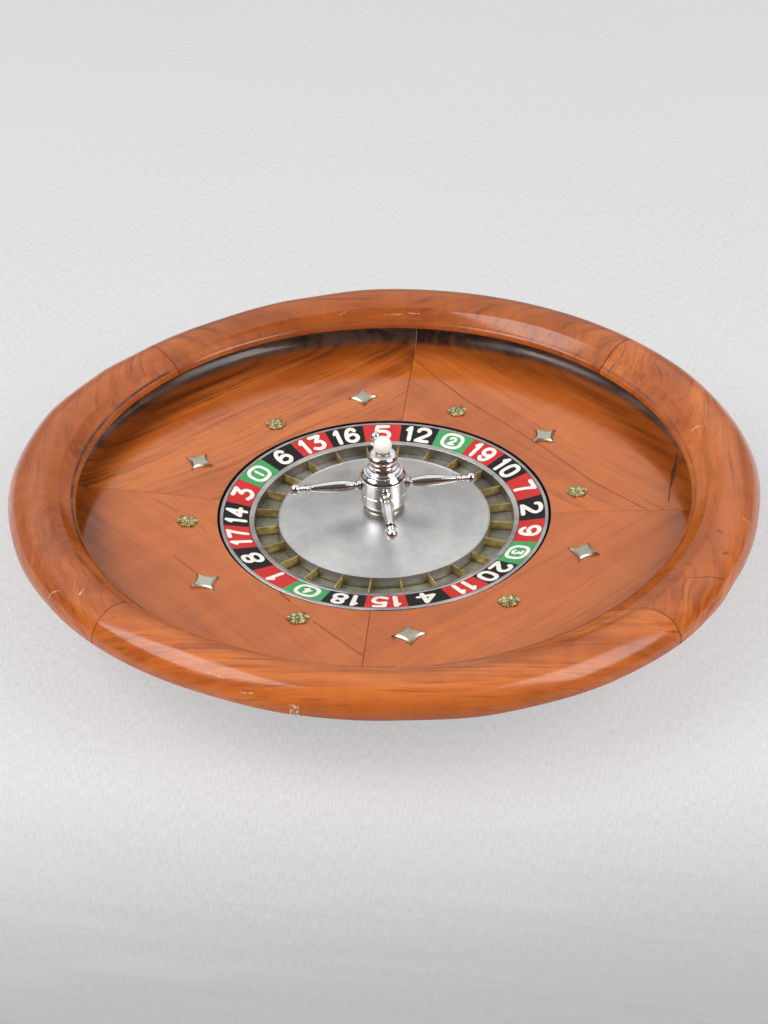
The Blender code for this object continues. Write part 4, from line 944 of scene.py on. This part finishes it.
def chromeFinish():
    f = Finish("turretChrome", (0.8, 0.8, 0.81), 0.05, 1.0)
    cloud = f.noise(f.object, 60, 4.0, 0.6)
    pits = f.spots(520, 3.0, 0.6, 0.66, 0.74)
    lower = f.step(f.parts(f.object)[2], 0.0795, 0.085, 1.0, 0.0)
    armUndersideShade = lower * f.step(f.radius(f.object), 0.0255, 0.028)  # the undersides of the arms, given a painted dark cool reflection
    body = f.mix(f.step(cloud, 0.35, 0.7), (0.9, 0.9, 0.91), (0.74, 0.735, 0.735))
    # painted shade and reflection: the arms' undersides are darkened blue-grey instead of mirroring the
    # wood
    body = f.mix(armUndersideShade * 0.85, body, (0.26, 0.33, 0.36))
    f.set("Base Color", f.mix(pits * 0.7, body, (0.2, 0.17, 0.14)))
    f.set("Roughness", f.step(cloud, 0.35, 0.75, 0.07, 0.15) + pits * 0.3)
    f.bump(cloud * 0.6 + f.scratches(0.9, 1500, 60) * 0.3 + pits * -0.4, 0.05, 0.0003)
    return f


def makeTurret():
    chrome = chromeFinish()
    brass = wornMetal("agedBrass")
    turnedPiece("turretBase", baseProfile, turret["steps"], brass, "brass", "turret_base",
                bevel=turret["bevel"])
    hub = [(0, 43.6), (23.0, 43.6)] + arc(23.9, 42.2, 1.4, 100, -60, 8)
    hub += [(24.5, 40.4), (24.5, 27.0), (24.1, 26.6), (24.1, 25.8), (24.5, 25.4), (24.5, 15.6)]
    hub += smoothRun([(24.5, 15.6), (24.3, 13.6), (23.4, 12.0), (22.0, 11.2)], 4)[1:]
    hub += [(21.0, 11.2), (21.0, 19.1), (10.3, 19.1), (10.3, 26.3), (0, 26.3)]
    turnedPiece("turretHub", hub, turret["steps"], chrome, "chrome", "turret_hub", onAxis=True)
    cap = [(0, 70.0), (7.9, 70.0), (7.9, 71.5)]
    cap += smoothRun([(24.3 * across, 43.9 + 27.6 * up) for across, up in capShares], 5)
    cap += [(15.2, 55.5), (15.6, 54.7), (15.5, 54.0), (17.2, 53.2)] + arc(17.6, 51.8, 1.2, 80, -30, 6)
    cap += [(18.8, 50.6), (20.2, 50.4)] + arc(20.2, 49.6, 0.8, 80, -50, 5)
    cap += [(20.8, 48.8), (22.2, 47.6), (23.2, 46.2), (24.0, 45.0), (24.3, 43.9), (0, 43.9)]
    turnedPiece("turretCap", cap, turret["steps"], chrome, "chrome", "turret_cap", onAxis=True)
    turnedPiece("ballSeat", seatProfile, turret["steps"], brass, "brass", "ball_seat")
    makeArms(chrome)


def makeArms(chrome):
    long = turret["armLength"]
    tip = turret["tip"]
    profile = [(0, -7.6), (2.9, -7.6), (2.9, 0)]
    profile += smoothRun([(turret["armWidth"] * wide, long * along) for along, wide in armShares], 3)
    profile += arc(0, long - tip, tip, -54, 90, 14)[1:-1] + [(0, long)]
    arm = lathe("turretArm1", [(radius / 1000, along / 1000) for radius, along in profile],
                turret["armSteps"], onAxis=True)
    arm.data.transform(spun(radians(turret["armTurn"]))
                       @ Matrix.Translation((turret["armStart"], 0, ringLevel + turret["armRise"]))
                       @ Matrix.Rotation(pi / 2, 4, "Y"))
    arms = [arm] + [copied(arm, f"turretArm{index + 1}", spun(pi / 2 * index))
                    for index in range(1, 4)]
    for index, piece in enumerate(arms):
        finished(piece, "rotor", chrome, "chrome", f"turret_arm_{index + 1}")


def makeBall():
    f = Finish("ballResin", (0.97, 0.965, 0.91), 0.2)
    cloud = f.noise(f.object, 90, 4.0)
    f.set("Base Color", f.mix(f.step(cloud, 0.35, 0.7), (0.98, 0.975, 0.93), (0.93, 0.91, 0.83)))
    f.set("Roughness", f.step(cloud, 0.3, 0.7, 0.16, 0.28))
    f.bump(f.noise(f.object, 400, 3.0), 0.05, 0.0003)
    low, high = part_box("ball")
    clearSelection()
    bpy.ops.mesh.primitive_uv_sphere_add(segments=64, ring_count=32, radius=(high.z - low.z) / 2,
                                         location=(low + high) / 2)
    piece = bpy.context.object
    piece.name = "gameBall"
    bpy.ops.object.transform_apply(location=True, rotation=True, scale=True)
    bpy.ops.object.shade_smooth_by_angle(angle=radians(60))
    finished(piece, "ball", f, "ivory_resin", "ball")


ornament = {"diamond": {"ring": 225.7, "turn": 35.5, "level": 3.45, "reach": 17.2, "points": 48,
                        "curve": 2.79, "steps": ((1.9, 1.0), (0.25, 0.97), (1.15, 0.86), (0.2, 0.97),
                                                 (0.0, 0.93), (-0.35, 0.985))},
            "rosette": {"ring": 211.0, "turn": 5.5, "level": 2.37, "sideTurn": 15}, "lean": 4.2}
rosetteBack = [(0, 0), (0.0092, 0), (0.0096, 0.0004), (0.0094, 0.0011), (0, 0.0013)]


def seatAt(name, index):  # where one inlay sits on the apron
    look = ornament[name]
    return (spun(radians(look["turn"] + 60 * index))
            @ Matrix.Translation((look["ring"] / 1000, 0, ringLevel + look["level"] / 1000))
            @ Matrix.Rotation(radians(-ornament["lean"]), 4, "Y"))


def makeDiamond():
    look = ornament["diamond"]
    clearSelection()
    bpy.ops.mesh.primitive_circle_add(vertices=look["points"], radius=1, fill_type="NGON")
    piece = bpy.context.object
    for corner in piece.data.vertices:
        turn = atan2(corner.co.y, corner.co.x)
        along = abs(cos(turn)) ** look["curve"] * (1 if cos(turn) > 0 else -1)
        across = abs(sin(turn)) ** look["curve"] * (1 if sin(turn) > 0 else -1)
        corner.co = Vector((along, across, 0)) * look["reach"] / 1000
    enter("EDIT")
    bpy.ops.mesh.select_mode(type="FACE")
    takeAll()
    for up, size in look["steps"]:
        bpy.ops.mesh.extrude_region_move(TRANSFORM_OT_translate={"value": (0, 0, up / 1000)})
        bpy.ops.transform.resize(value=(size, size, 1), center_override=(0, 0, 0))
    enter("OBJECT")
    closeUp(piece, 24)
    return piece


def petalRib(turn, start, end, width, tall):  # millimetres from the rosette's middle
    clearSelection()
    bpy.ops.mesh.primitive_uv_sphere_add(segments=12, ring_count=8, radius=1)
    rib = bpy.context.object
    middle = (start + end) / 2000
    rib.data.transform(spun(turn) @ Matrix.Translation((middle, 0, 0.0012))
                       @ Matrix.Diagonal(((end - start) / 2000, width / 2000, tall / 1000, 1)))
    return rib


def makeRosette():
    parts = [lathe("rosetteBack", rosetteBack, 36, onAxis=True)]
    for petal in range(6):
        turn = radians(60 * petal)
        parts.append(petalRib(turn, 2.0, 11.9, 2.6, 2.0))
        for side in (-1, 1):
            swing = side * radians(ornament["rosette"]["sideTurn"])
            parts.append(petalRib(turn + swing, 2.0, 11.2, 2.4, 1.6))
    parts.append(petalRib(0, -2.8, 2.8, 5.6, 2.4))
    piece = joinUp(parts)
    closeUp(piece, 50)
    return piece


def makeOrnaments():
    green = Finish("rosetteBrass", (0.4, 0.36, 0.18), 0.36, 0.9)
    cloud = green.noise(green.object, 160, 4.0, 0.6)
    grime = green.spots(420, 3.0, 0.5, 0.4, 0.62)
    body = green.mix(green.step(cloud, 0.3, 0.7), (0.36, 0.32, 0.14), (0.8, 0.7, 0.38))
    green.set("Base Color", green.mix(grime * 0.55, body, (0.085, 0.085, 0.045)))
    green.set("Roughness", green.step(cloud, 0.3, 0.7, 0.26, 0.46) + grime * 0.15)
    green.bump(cloud + grime * -0.6, 0.2, 0.0004)
    for name, first, finish, slot in (("diamond", makeDiamond(), wornMetal("paleGold"), "pale_brass"),
                                      ("rosette", makeRosette(), green, "brass")):
        for index in range(6):
            piece = copied(first, f"{name}Inlay{index + 1}", seatAt(name, index))
            finished(piece, "bowl", finish, slot, f"{name}_{index + 1}")
        bpy.data.objects.remove(first)


makeRim()
print("rim made")
makeApron()
print("apron made")
makeBase()
makeRings()
makeNumberRing()
print("rings made")
makeNumbers()
print("numbers made")
makeFrets()
makeCone()
makeTurret()
makeBall()
makeOrnaments()
print("turret, frets and ornaments made")
hiddenSteel = wornMetal("hiddenSteel")
for node in ("spindle", "spindle_flange", "rotor_hub", "flange_screw_1", "flange_screw_2",
             "flange_screw_3", "flange_screw_4"):
    dress(node, hiddenSteel)
dress("thrust_washer", wornMetal("washerBrass"))
clearSelection()
